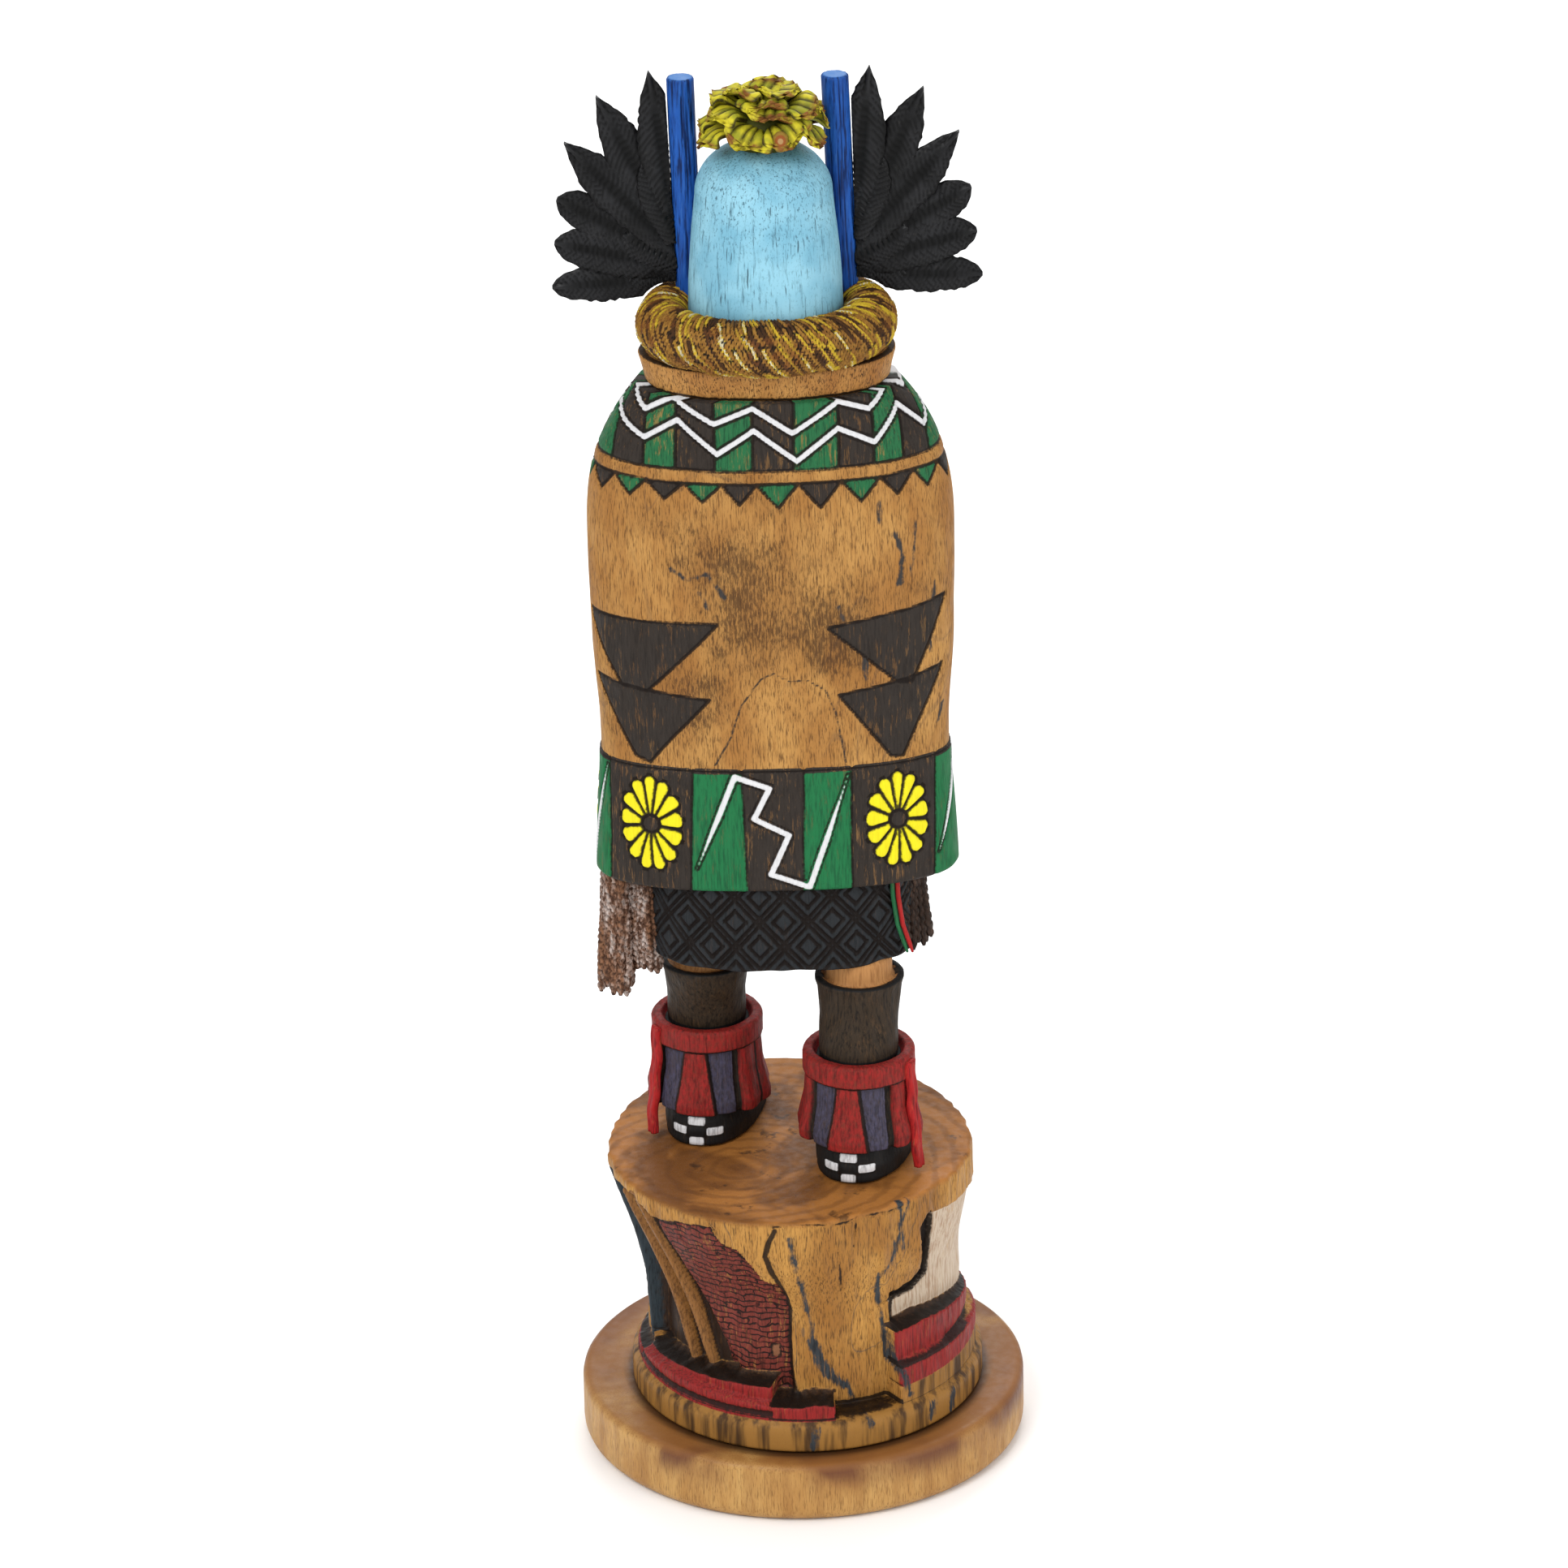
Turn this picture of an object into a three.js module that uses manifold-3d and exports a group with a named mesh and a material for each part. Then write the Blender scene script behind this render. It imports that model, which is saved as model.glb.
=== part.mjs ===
// Kachina doll carved from cottonwood root, standing on a turned disc.
// Millimetres, +Z up. The origin is the middle of the disc's underside.
// The doll's back, which is its painted display side, faces -Y; its mask faces +Y.
import * as THREE from 'three';
import { mergeVertices } from 'three/addons/utils/BufferGeometryUtils.js';
import Module from 'manifold-3d';

const wasm = await Module();
wasm.setup();

// Gap between pieces that touch
const CLEARANCE = 0.3;

// Turned disc
const DISC_RADIUS = 43.5;
const DISC_HEIGHT = 12.4;
const DISC_TOP_ROUND = 1.4;
const DISC_FOOT_ROUND = 2.8;

// Stump of root wood that the figure grows from
const STUMP_RIM = { x: -2, y: 1.5 };
const STUMP_FOOT = { x: 0.9, y: 0.5 };
const STUMP_HEIGHT = 47.7;
const STUMP_RIM_RADIUS = 35.6;
const STUMP_WAIST_RADIUS = 30.2;
const STUMP_OVAL = 1.02;
const LIP = { x: 0.9, y: -2, halfWidth: 34.5, halfDepth: 36.4, height: 6.4, round: 2.4 };
const NATURAL_RELIEF = 1.2;
const WALL_RECESS = 0.5;
const DEEP_RECESS = 2.4;
const STEP_LOWER_INSET = 1.4;
const STEP_UPPER_INSET = 3.2;
const STEP_REACH = 12;
const POLE_RADIUS = 1.15;

// Figure, with levels measured up from the top of the stump
const FIGURE_X = -2.9;
const RIGHT_FOOT = { x: 11.9, y: -8.5, kneeX: 12.3, kneeY: -4.5, yaw: -14, side: 1 };
const LEFT_FOOT = { x: -17.3, y: 9, kneeX: -17.3, kneeY: 4, yaw: -14, side: -1 };
const SHOE_LENGTH = 33;
const SHOE_HALF_WIDTH = 8.9;
const SHOE_HEEL = 10.6;
const SHOE_HEIGHT = 6.4;
const GAITER_HEM = 6.9;
const GAITER_RADIUS = 10.7;
const GAITER_FLARE = 1.15;
const CUFF_HEIGHT = 4.5;
const CUFF_TOP = 24.8;
const CUFF_WALL = 2;
const CUFF_DEPTH = 1.5;
const STOCKING_RADIUS = 7.6;
const STOCKING_TOP = 38.4;
const STOCKING_FLARE = 1;
const KNEE_RADIUS = 6.3;
const TIE_RADIUS = 11.4;
const TIE_ANGLE = 28;

const SKIRT_X = -2;
const SKIRT_HEM = 42.8;
const SKIRT_HALF_WIDTH = 25.1;
const SKIRT_HALF_DEPTH = 13;

const SHAWL_HEM = 60.2;
const SHAWL_BAND_TOP = 85.3;
const SHAWL_BAND_RELIEF = 0.4;
const SHAWL_TOP = 158.8;
const SHAWL_HALF_WIDTH = 34.4;
const SHAWL_WAIST_TUCK = 1.4;
const SHAWL_SHOULDER_WIDTH = 24.4;
const SHAWL_BACK = 14.6;
const SHAWL_FRONT = 15.6;
const SHAWL_CHEST = 4.2;
const SHAWL_LAP = 0.07;

const COLLAR_HALF_WIDTH = 22.7;
const COLLAR_DEPTH = 13.6;
const COLLAR_FLARE = 1.2;
const COLLAR_TOP = 165;

const RUFF_LEVEL = 170;
const RUFF_HALF_WIDTH = 19.1;
const RUFF_HALF_DEPTH = 15.5;
const RUFF_TUBE = 5;
const RUFF_TUFTS = 18;
const RUFF_TUFT_RELIEF = 0.55;

const HEAD_RADIUS = 14.6;
const HEAD_DEPTH = 14.2;
const HEAD_TOP = 204.6;
const HEAD_SHOULDER = 9.5;
const HEAD_TAPER = 0.87;

const TASSEL_OUTER = { x: -34.4, y: -1, low: 33.6, top: 62, lobe: 3.1, depth: 4, spread: -1.6 };
const TASSEL_INNER = { x: -29.4, y: -1, low: 37.5, top: 62, lobe: 2.5, depth: 3.6, spread: 0.8 };
const FRINGE = { x: 23.6, y: -2.5, low: 42, top: 62, width: 2.9, depth: 3.4 };
const RIBBON = { x: 20.2, y: -8.6, low: 44, top: 62, width: 1.3, depth: 0.9 };

// Separate pieces on the head
const ROD_RADIUS = 2.55;
const ROD_TOP = 215.4;
const ROD_Y = 6.5;
const ROD_LEFT = { low: -17, high: -17.8 };
const ROD_RIGHT = { low: 12, high: 10.6 };

const WING_INSET = 1.7;
const WING_STAND = 4.9;
const WING_SPAN = 23.8;
const WING_RISE = 41.7;
const WING_TIP = 0.6;
const WING_RIDGE = 1.25;
const WING_COVERT_RIDGE = 2;
const WING_TILT_RIGHT = 2.2;
const FEATHER_HALF_WIDTH = 4.4;
// Each feather: its tip as shares of the span and rise, its root as a share of the rise,
// its width as a share of the widest, blunt or not
const FEATHERS = [
  [0.206, 1, 0.218, 1, false],
  [0.613, 0.885, 0.194, 1, false],
  [0.87, 0.679, 0.17, 1, false],
  [0.941, 0.415, 0.137, 1, true],
  [0.971, 0.216, 0.098, 0.98, true],
  [1, 0, 0.05, 0.84, true],
];
const COVERTS = [
  [0.261, 0.607, 0.218, 0.955, false],
  [0.433, 0.424, 0.17, 0.955, false],
  [0.437, 0.247, 0.122, 0.93, true],
  [0.433, 0.06, 0.065, 0.865, true],
];

const TUFT = { x: -2.5, y: -1.2, rise: 2.6 };
const TUFT_CORE = [8.2, 7, 5.6];
const PETAL_REACH_X = 13.2;
const PETAL_REACH_Y = 10.8;
const PETAL_WIDTH = 4.3;
const PETAL_THICKNESS = 0.85;
// Each ring of petals: how many, how steep, share of the full reach, first angle
const PETAL_RINGS = [
  [8, -20, 1, 8],
  [6, 20, 0.94, 30],
  [3, 56, 0.92, 30],
];

const STUMP_BASE = DISC_HEIGHT + CLEARANCE;
const STUMP_TOP = STUMP_BASE + STUMP_HEIGHT;
const WING_FOOT = RUFF_LEVEL + WING_STAND;
const TUFT_LEVEL = HEAD_TOP + TUFT.rise;
const rad = THREE.MathUtils.degToRad;
const ease = (x, from, to) => THREE.MathUtils.smoothstep(x, from, to);
const mix = THREE.MathUtils.lerp;
const up = (level) => STUMP_TOP + level;

// Makes a closed geometry from points and faces, with its faces turned outwards.
function closedGeometry(points, faces) {
  let volume = 0;
  for (let f = 0; f < faces.length; f += 3) {
    const [a, b, c] = [points[faces[f]], points[faces[f + 1]], points[faces[f + 2]]];
    volume += a.dot(new THREE.Vector3().crossVectors(b, c));
  }
  const index = volume < 0 ? faces.slice().reverse() : faces;
  const geometry = new THREE.BufferGeometry();
  const places = points.flatMap((p) => [p.x, p.y, p.z]);
  geometry.setAttribute('position', new THREE.Float32BufferAttribute(places, 3));
  geometry.setIndex(index);
  return geometry;
}

function joinRings(faces, from, to, count) {
  for (let i = 0; i < count; i++) {
    const j = (i + 1) % count;
    faces.push(from + i, from + j, to + j, from + i, to + j, to + i);
  }
}

// Skins a stack of loops and closes both ends.
function skin(rings) {
  const count = rings[0].length;
  const points = rings.flat();
  const faces = [];
  for (let r = 0; r + 1 < rings.length; r++) joinRings(faces, r * count, (r + 1) * count, count);
  const middle = (ring) => ring.reduce((sum, p) => sum.add(p), new THREE.Vector3()).divideScalar(count);
  const low = points.length;
  const high = low + 1;
  const last = (rings.length - 1) * count;
  points.push(middle(rings[0]), middle(rings[rings.length - 1]));
  for (let i = 0; i < count; i++) {
    const j = (i + 1) % count;
    faces.push(low, j, i, high, last + i, last + j);
  }
  return closedGeometry(points, faces);
}

// Skins loops that follow each other in a circle.
function skinRound(rings) {
  const count = rings[0].length;
  const faces = [];
  rings.forEach((_, r) => joinRings(faces, r * count, ((r + 1) % rings.length) * count, count));
  return closedGeometry(rings.flat(), faces);
}

// A level loop round (x, y), squarer as power grows, with its own depth to the front.
function oval(z, halfX, halfY, options = {}) {
  const { x = 0, y = 0, power = 2, turn = 0, sides = 32, front = halfY, shape = () => 1 } = options;
  return Array.from({ length: sides }, (_, i) => {
    const angle = (i / sides) * 2 * Math.PI;
    const c = Math.cos(angle);
    const s = Math.sin(angle);
    const along = Math.sign(c) * Math.abs(c) ** (2 / power) * halfX * shape(angle);
    const across = Math.sign(s) * Math.abs(s) ** (2 / power) * (s > 0 ? front : halfY) * shape(angle);
    const px = along * Math.cos(turn) - across * Math.sin(turn);
    const py = along * Math.sin(turn) + across * Math.cos(turn);
    return new THREE.Vector3(x + px, y + py, z);
  });
}

function toSolid(geometry) {
  const plain = new THREE.BufferGeometry();
  plain.setAttribute('position', geometry.getAttribute('position'));
  plain.setIndex(geometry.getIndex());
  const merged = mergeVertices(plain, 1e-5);
  return new wasm.Manifold(new wasm.Mesh({
    numProp: 3,
    vertProperties: merged.getAttribute('position').array,
    triVerts: Uint32Array.from(merged.getIndex().array),
  }));
}

function toGeometry(solid) {
  const mesh = solid.getMesh();
  const geometry = new THREE.BufferGeometry();
  geometry.setAttribute('position', new THREE.Float32BufferAttribute(mesh.vertProperties, 3));
  geometry.setIndex(Array.from(mesh.triVerts));
  return geometry;
}

const join = (solids) => solids.reduce((whole, solid) => whole.add(solid));

// A straight or bent bar whose flat section faces along wide.
function bar(path, halfWidth, halfDepth, wide) {
  const across = wide.clone().normalize();
  return skin(path.map((point, i) => {
    const ahead = path[Math.min(i + 1, path.length - 1)].clone().sub(path[Math.max(i - 1, 0)]).normalize();
    const deep = new THREE.Vector3().crossVectors(ahead, across).normalize();
    return [[-1, -1], [1, -1], [1, 1], [-1, 1]].map(([w, d]) => point.clone()
      .addScaledVector(across, w * halfWidth).addScaledVector(deep, d * halfDepth));
  }));
}

function discGeometry() {
  const arc = (radius, z, round, from, to) => Array.from({ length: 3 }, (_, i) => {
    const angle = rad(mix(from, to, i / 2));
    return new THREE.Vector2(radius + round * Math.cos(angle), z + round * Math.sin(angle));
  });
  const profile = [
    new THREE.Vector2(0, 0),
    ...arc(DISC_RADIUS - DISC_FOOT_ROUND, DISC_FOOT_ROUND, DISC_FOOT_ROUND, -90, 0),
    ...arc(DISC_RADIUS - DISC_TOP_ROUND, DISC_HEIGHT - DISC_TOP_ROUND, DISC_TOP_ROUND, 0, 90),
    new THREE.Vector2(0, DISC_HEIGHT),
  ];
  return new THREE.LatheGeometry(profile, 44).rotateX(Math.PI / 2);
}

// Middle of the stump, which leans a little, at a share of its height.
function stumpCentre(share) {
  const lean = ease(share, 0.45, 1);
  return { x: mix(STUMP_FOOT.x, STUMP_RIM.x, lean), y: mix(STUMP_FOOT.y, STUMP_RIM.y, lean) };
}

// Radius of the carved waist at a share of the stump's height.
function stumpRadius(share) {
  return mix(STUMP_WAIST_RADIUS, STUMP_RIM_RADIUS, ease(share, 0.5, 0.97));
}

function stumpLevels(offset, from, to, levels, sides) {
  const rings = [];
  for (let i = 0; i <= levels; i++) {
    const share = mix(from, to, i / levels);
    const fade = 1 - ease(share, 0.72, 0.95);
    const radius = stumpRadius(share) + offset * (offset > 0 ? fade : 1);
    const uneven = (angle) => 1 + 0.008 * Math.sin(3 * angle + 1) + 0.006 * Math.sin(5 * angle + 3 * share);
    const z = STUMP_BASE + share * STUMP_HEIGHT;
    const place = { ...stumpCentre(share), sides, front: radius * 1.06, shape: uneven };
    rings.push(oval(z, radius, radius * STUMP_OVAL, place));
  }
  return toSolid(skin(rings));
}

// A place on the stump, from an angle in degrees and a share of its height.
function onStump(angle, share, radius) {
  const centre = stumpCentre(share);
  return new THREE.Vector3(
    centre.x + radius * Math.cos(rad(angle)),
    centre.y + radius * STUMP_OVAL * Math.sin(rad(angle)),
    STUMP_BASE + share * STUMP_HEIGHT,
  );
}

// A place inside the lip's outline, from an angle in degrees and a share of the stump's height.
function onLip(angle, share, inset) {
  return new THREE.Vector3(
    LIP.x + (LIP.halfWidth - inset) * Math.cos(rad(angle)),
    LIP.y + (LIP.halfDepth - inset) * Math.sin(rad(angle)),
    STUMP_BASE + share * STUMP_HEIGHT,
  );
}

// A block that reaches out from inside the stump and has the outline given as angle and share.
function wedge(outline) {
  const flat = outline.map(([angle, share]) => new THREE.Vector2(angle, share * STUMP_HEIGHT));
  if (THREE.ShapeUtils.isClockWise(flat)) {
    flat.reverse();
    outline.reverse();
  }
  const triangles = THREE.ShapeUtils.triangulateShape(flat, []);
  const inner = outline.map(([angle, share]) => onStump(angle, share, STUMP_WAIST_RADIUS * 0.6));
  const outer = outline.map(([angle, share]) => onStump(angle, share, STUMP_RIM_RADIUS * 1.5));
  const count = outline.length;
  const faces = [];
  for (const [a, b, c] of triangles) faces.push(a, c, b, count + a, count + b, count + c);
  for (let i = 0; i < count; i++) {
    const j = (i + 1) % count;
    faces.push(i, j, count + j, i, count + j, count + i);
  }
  return toSolid(closedGeometry([...inner, ...outer], faces));
}

// A step that runs round the stump through places given as angle, foot share and tread share.
function step(course, inset) {
  const rings = course.flatMap(([angle, foot, tread], i) => {
    const next = course[i + 1] ?? course[i];
    const count = Math.max(1, Math.ceil((next[0] - angle) / 20));
    return Array.from({ length: count }, (_, k) => {
      const t = k / count;
      const at = mix(angle, next[0], t);
      const low = mix(foot, next[1], t);
      const high = mix(tread, next[2], t);
      return [
        onLip(at, low, STEP_REACH), onLip(at, low, inset),
        onLip(at, high, inset + 0.3), onLip(at, high, STEP_REACH),
      ];
    });
  });
  return toSolid(skin(rings));
}

function pole(from, to, radius) {
  const path = new THREE.CatmullRomCurve3([0, 0.33, 0.67, 1].map((t) =>
    onStump(mix(from[0], to[0], t), mix(from[1], to[1], t), stumpRadius(mix(from[1], to[1], t)) - 0.4)));
  const section = new THREE.Shape().absarc(0, 0, radius, 0, 2 * Math.PI);
  const shaft = new THREE.ExtrudeGeometry(section, { steps: 3, curveSegments: 5, extrudePath: path });
  return toSolid(mergeForJoin(shaft));
}

// Gives a geometry without an index the shared vertices that a join needs.
function mergeForJoin(geometry) {
  const plain = new THREE.BufferGeometry();
  plain.setAttribute('position', geometry.getAttribute('position'));
  return mergeVertices(plain, 1e-4);
}

// The stump, with a pueblo wall, steps and leaning poles carved round it.
function stumpSolid() {
  const natural = stumpLevels(NATURAL_RELIEF, 0, 1, 5, 34);
  const wall = stumpLevels(-WALL_RECESS, -0.1, 1.1, 4, 30);
  const deep = stumpLevels(-DEEP_RECESS, -0.1, 1.1, 3, 24);
  const masonry = wedge([
    [-139.2, 0.897], [-127.2, 0.932], [-115.8, 0.95], [-113.8, 0.885], [-108, 0.863], [-104.4, 0.8],
    [-102.6, 0.73], [-98, 0.698], [-95.6, 0.638], [-96.4, 0.512], [-96.4, 0.348], [-95.4, 0.19],
    [-118, 0.19], [-124, 0.355], [-131, 0.478], [-136.8, 0.61],
  ]);
  const shade = wedge([
    [-190, 0.9], [-178, 0.93], [-150, 0.95], [-138, 0.9], [-133.2, 0.61], [-127.4, 0.478],
    [-120.4, 0.355], [-114, 0.22], [-130, 0.2], [-180, 0.22], [-192, 0.4], [-192, 0.7],
  ]);
  const corner = wedge([
    [-39.4, 0.893], [-43.8, 0.843], [-43, 0.64], [-48.4, 0.598], [-58, 0.585], [-57.6, 0.545],
    [-46.2, 0.55], [-37, 0.59], [-38, 0.86],
  ]);
  const plaster = wedge([
    [-41, 0.89], [-26.2, 0.86], [4, 0.84], [20, 0.7], [20, 0.3], [-57.2, 0.3], [-58.8, 0.468],
    [-58.4, 0.56], [-48, 0.565], [-40.4, 0.61],
  ]);
  const lipRing = (z, inset) => oval(STUMP_BASE + z, LIP.halfWidth - inset, LIP.halfDepth - inset, {
    x: LIP.x, y: LIP.y, sides: 36,
  });
  const lip = toSolid(skin([
    lipRing(0, 0.4),
    lipRing(LIP.height - LIP.round, 0),
    lipRing(LIP.height - LIP.round * 0.3, LIP.round * 0.3),
    lipRing(LIP.height, LIP.round),
  ]));
  const carved = natural
    .subtract(masonry.subtract(wall))
    .subtract(plaster.subtract(wall))
    .subtract(shade.subtract(deep))
    .subtract(corner.subtract(deep));
  return join([
    carved,
    lip,
    step([
      [-200, 0.06, 0.13], [-167, 0.09, 0.182], [-150, 0.09, 0.212], [-135, 0.09, 0.217],
      [-107, 0.09, 0.196], [-94, 0.09, 0.193], [-88, 0.09, 0.207], [-80.8, 0.09, 0.194],
    ], STEP_LOWER_INSET),
    step([[-168, 0.1, 0.2], [-141, 0.12, 0.242], [-122, 0.12, 0.255], [-103, 0.12, 0.263]], STEP_UPPER_INSET),
    step([
      [-57.4, 0.09, 0.311], [-45, 0.09, 0.323], [-24, 0.09, 0.307], [10, 0.08, 0.26], [40, 0.06, 0.17],
    ], STEP_LOWER_INSET),
    step([[-57.2, 0.2, 0.45], [-43.4, 0.2, 0.458], [-20.2, 0.2, 0.42], [22, 0.12, 0.32]], STEP_UPPER_INSET),
    pole([-136, 0.22], [-158, 0.92], POLE_RADIUS),
    pole([-128, 0.26], [-150, 0.95], POLE_RADIUS),
    pole([-170, 0.2], [-176, 0.92], POLE_RADIUS * 1.6),
  ]);
}

// How far the gaiter's wall stands out at an angle from the heel, on its way down to the hem.
function gaiterWall(angle, low) {
  const turned = Math.abs(Math.atan2(Math.sin(angle + Math.PI / 2), Math.cos(angle + Math.PI / 2)));
  const off = THREE.MathUtils.radToDeg(turned);
  if (off < mix(12, 24, low)) return 1;
  if (off < 62) return 0.94;
  if (off < 78) return 0.87;
  if (off < 125) return 1.02 + 0.06 * low;
  return 1;
}

// One leg: shoe, gaiter with its cuff, stocking and knee.
function legSolid(foot) {
  const turn = rad(foot.yaw);
  const toe = new THREE.Vector2(-Math.sin(turn), Math.cos(turn));
  const shoeRing = (z, width, heel, reach) => oval(up(z), SHOE_HALF_WIDTH * width, (heel + reach) / 2, {
    x: foot.x + toe.x * (reach - heel) / 2, y: foot.y + toe.y * (reach - heel) / 2, turn, power: 2.3,
    sides: 16,
  });
  const reach = SHOE_LENGTH - SHOE_HEEL;
  const shoe = skin([
    shoeRing(-0.5, 1, SHOE_HEEL, reach),
    shoeRing(SHOE_HEIGHT * 0.55, 1.03, SHOE_HEEL, reach),
    shoeRing(SHOE_HEIGHT, 0.97, SHOE_HEEL * 0.95, reach * 0.93),
    shoeRing(SHOE_HEIGHT * 1.6, 0.8, SHOE_HEEL * 0.8, reach * 0.6),
    shoeRing(SHOE_HEIGHT * 2.4, 0.5, SHOE_HEEL * 0.5, reach * 0.2),
  ]);
  const cuffLow = CUFF_TOP - CUFF_HEIGHT;
  const legRing = (z, radius, low) => {
    const lean = ease(z, CUFF_TOP - CUFF_DEPTH, STOCKING_TOP);
    return oval(up(z), radius, radius, {
      x: mix(foot.x, foot.kneeX, lean), y: mix(foot.y, foot.kneeY, lean), turn, sides: 20,
      shape: low === undefined ? () => 1 : (angle) => gaiterWall(angle, low),
    });
  };
  const leg = skin([
    legRing(GAITER_HEM, GAITER_RADIUS + GAITER_FLARE - 0.6, 1),
    legRing(GAITER_HEM + 2, GAITER_RADIUS + GAITER_FLARE, 1),
    legRing(mix(GAITER_HEM, cuffLow, 0.6), GAITER_RADIUS - 0.2, 0.4),
    legRing(cuffLow, GAITER_RADIUS - 0.2, 0),
    legRing(cuffLow + 0.1, GAITER_RADIUS),
    legRing(CUFF_TOP, GAITER_RADIUS),
    legRing(CUFF_TOP, GAITER_RADIUS - CUFF_WALL),
    legRing(CUFF_TOP - CUFF_DEPTH, STOCKING_RADIUS + 0.5),
    legRing(CUFF_TOP - CUFF_DEPTH + 0.4, STOCKING_RADIUS),
    legRing(mix(CUFF_TOP, STOCKING_TOP, 0.5), STOCKING_RADIUS + 0.1),
    legRing(STOCKING_TOP, STOCKING_RADIUS + STOCKING_FLARE),
    legRing(STOCKING_TOP, KNEE_RADIUS),
    legRing(SKIRT_HEM + 3, KNEE_RADIUS),
  ]);
  const outwards = new THREE.Vector3(foot.side * Math.cos(rad(TIE_ANGLE)), -Math.sin(rad(TIE_ANGLE)), 0);
  const strap = [[CUFF_TOP - 1, -0.4], [CUFF_TOP * 0.6, 0], [GAITER_HEM, 0.9], [1.6, 1.2]].map(([z, out]) =>
    new THREE.Vector3(foot.x, foot.y, up(z)).addScaledVector(outwards, TIE_RADIUS + out));
  const tie = bar(strap, 1.3, 0.9, new THREE.Vector3(-outwards.y, outwards.x, 0));
  return join([toSolid(shoe), toSolid(leg), toSolid(tie)]);
}

function skirtSolid() {
  const ring = (level, grow) => oval(up(level), SKIRT_HALF_WIDTH + grow, SKIRT_HALF_DEPTH + grow * 0.6, {
    x: SKIRT_X, power: 2.3, sides: 28,
  });
  return toSolid(skin([ring(SKIRT_HEM, -0.4), ring(SKIRT_HEM + 0.8, 0), ring(SHAWL_HEM + 3, 0.6)]));
}

// Half-width of the shawl at a level: full at the arms, drawn in above the band, rounded to the neck.
function shawlHalfWidth(level) {
  const share = (level - SHAWL_HEM) / (SHAWL_TOP - SHAWL_HEM);
  const tuck = Math.exp(-(((share - 0.27) / 0.17) ** 2)) * SHAWL_WAIST_TUCK;
  const fall = Math.max(0, (share - 0.7) / 0.3);
  const shoulder = 1 - (1 - SHAWL_SHOULDER_WIDTH / SHAWL_HALF_WIDTH) * fall ** 2.6;
  return SHAWL_HALF_WIDTH * shoulder - tuck;
}

function shawlSolid() {
  const lap = (angle) => {
    const degrees = THREE.MathUtils.radToDeg(angle);
    return degrees > 83 && degrees < 150 ? 1 + SHAWL_LAP * (1 - (degrees - 83) / 67) : 1;
  };
  const ring = (level, grow) => {
    const share = (level - SHAWL_HEM) / (SHAWL_TOP - SHAWL_HEM);
    const chest = Math.exp(-(((share - 0.55) / 0.22) ** 2)) * SHAWL_CHEST;
    const dip = Math.exp(-(((share - 0.3) / 0.12) ** 2)) * 1.2;
    return oval(up(level), shawlHalfWidth(level) + grow, SHAWL_BACK - dip + grow, {
      x: FIGURE_X, power: mix(2.35, 2.15, share), sides: 32, front: SHAWL_FRONT + chest + grow, shape: lap,
    });
  };
  const share = (s) => mix(SHAWL_HEM, SHAWL_TOP, s);
  return toSolid(skin([
    ring(SHAWL_HEM, SHAWL_BAND_RELIEF - 0.5),
    ring(SHAWL_HEM + 0.7, SHAWL_BAND_RELIEF),
    ring(SHAWL_BAND_TOP - 0.3, SHAWL_BAND_RELIEF),
    ring(SHAWL_BAND_TOP, 0),
    ...[0.4, 0.55, 0.7, 0.8, 0.88, 0.95, 1].map((s) => ring(share(s), 0)),
  ]));
}

function collarSolid() {
  const ring = (level, grow) => oval(up(level), COLLAR_HALF_WIDTH + grow, COLLAR_DEPTH + grow, {
    x: FIGURE_X, power: 2.2, sides: 24,
  });
  return toSolid(skin([ring(SHAWL_TOP - 2, -0.4), ring(COLLAR_TOP - 0.8, COLLAR_FLARE),
    ring(COLLAR_TOP, COLLAR_FLARE - 0.5)]));
}

// The twisted ruff; grow swells it all round, and tufts turns its twist on.
function ruffGeometry(grow, tufts) {
  const around = tufts ? RUFF_TUFTS * 2 : 36;
  const rings = Array.from({ length: around }, (_, i) => {
    const angle = (i / around) * 2 * Math.PI;
    return Array.from({ length: 6 }, (__, j) => {
      const turn = (j / 6) * 2 * Math.PI;
      const relief = tufts ? RUFF_TUFT_RELIEF * Math.cos(RUFF_TUFTS * angle + 2 * turn) : RUFF_TUFT_RELIEF;
      const tube = RUFF_TUBE + relief + grow;
      const out = tube * Math.cos(turn);
      return new THREE.Vector3(
        FIGURE_X + (RUFF_HALF_WIDTH + out) * Math.cos(angle),
        (RUFF_HALF_DEPTH + out) * Math.sin(angle),
        up(RUFF_LEVEL) + tube * Math.sin(turn),
      );
    });
  });
  return skinRound(rings);
}

function headSolid(grow) {
  const base = RUFF_LEVEL - RUFF_TUBE;
  const ring = (level, share) => oval(up(level), HEAD_RADIUS * share + grow, HEAD_DEPTH * share + grow, {
    x: FIGURE_X, power: 2.1, sides: 22,
  });
  const shoulder = HEAD_TOP - HEAD_SHOULDER;
  const crown = [0, 26, 50, 74].map((degrees) => ring(
    shoulder + HEAD_SHOULDER * Math.sin(rad(degrees)) + grow,
    HEAD_TAPER * (1 - (1 - Math.cos(rad(degrees))) * 0.78),
  ));
  return toSolid(skin([
    ring(base, 1), ring(mix(base, shoulder, 0.45), 0.975), ring(mix(base, shoulder, 0.78), 0.925),
    ...crown, ring(HEAD_TOP + grow, HEAD_TAPER * 0.3),
  ]));
}

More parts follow.
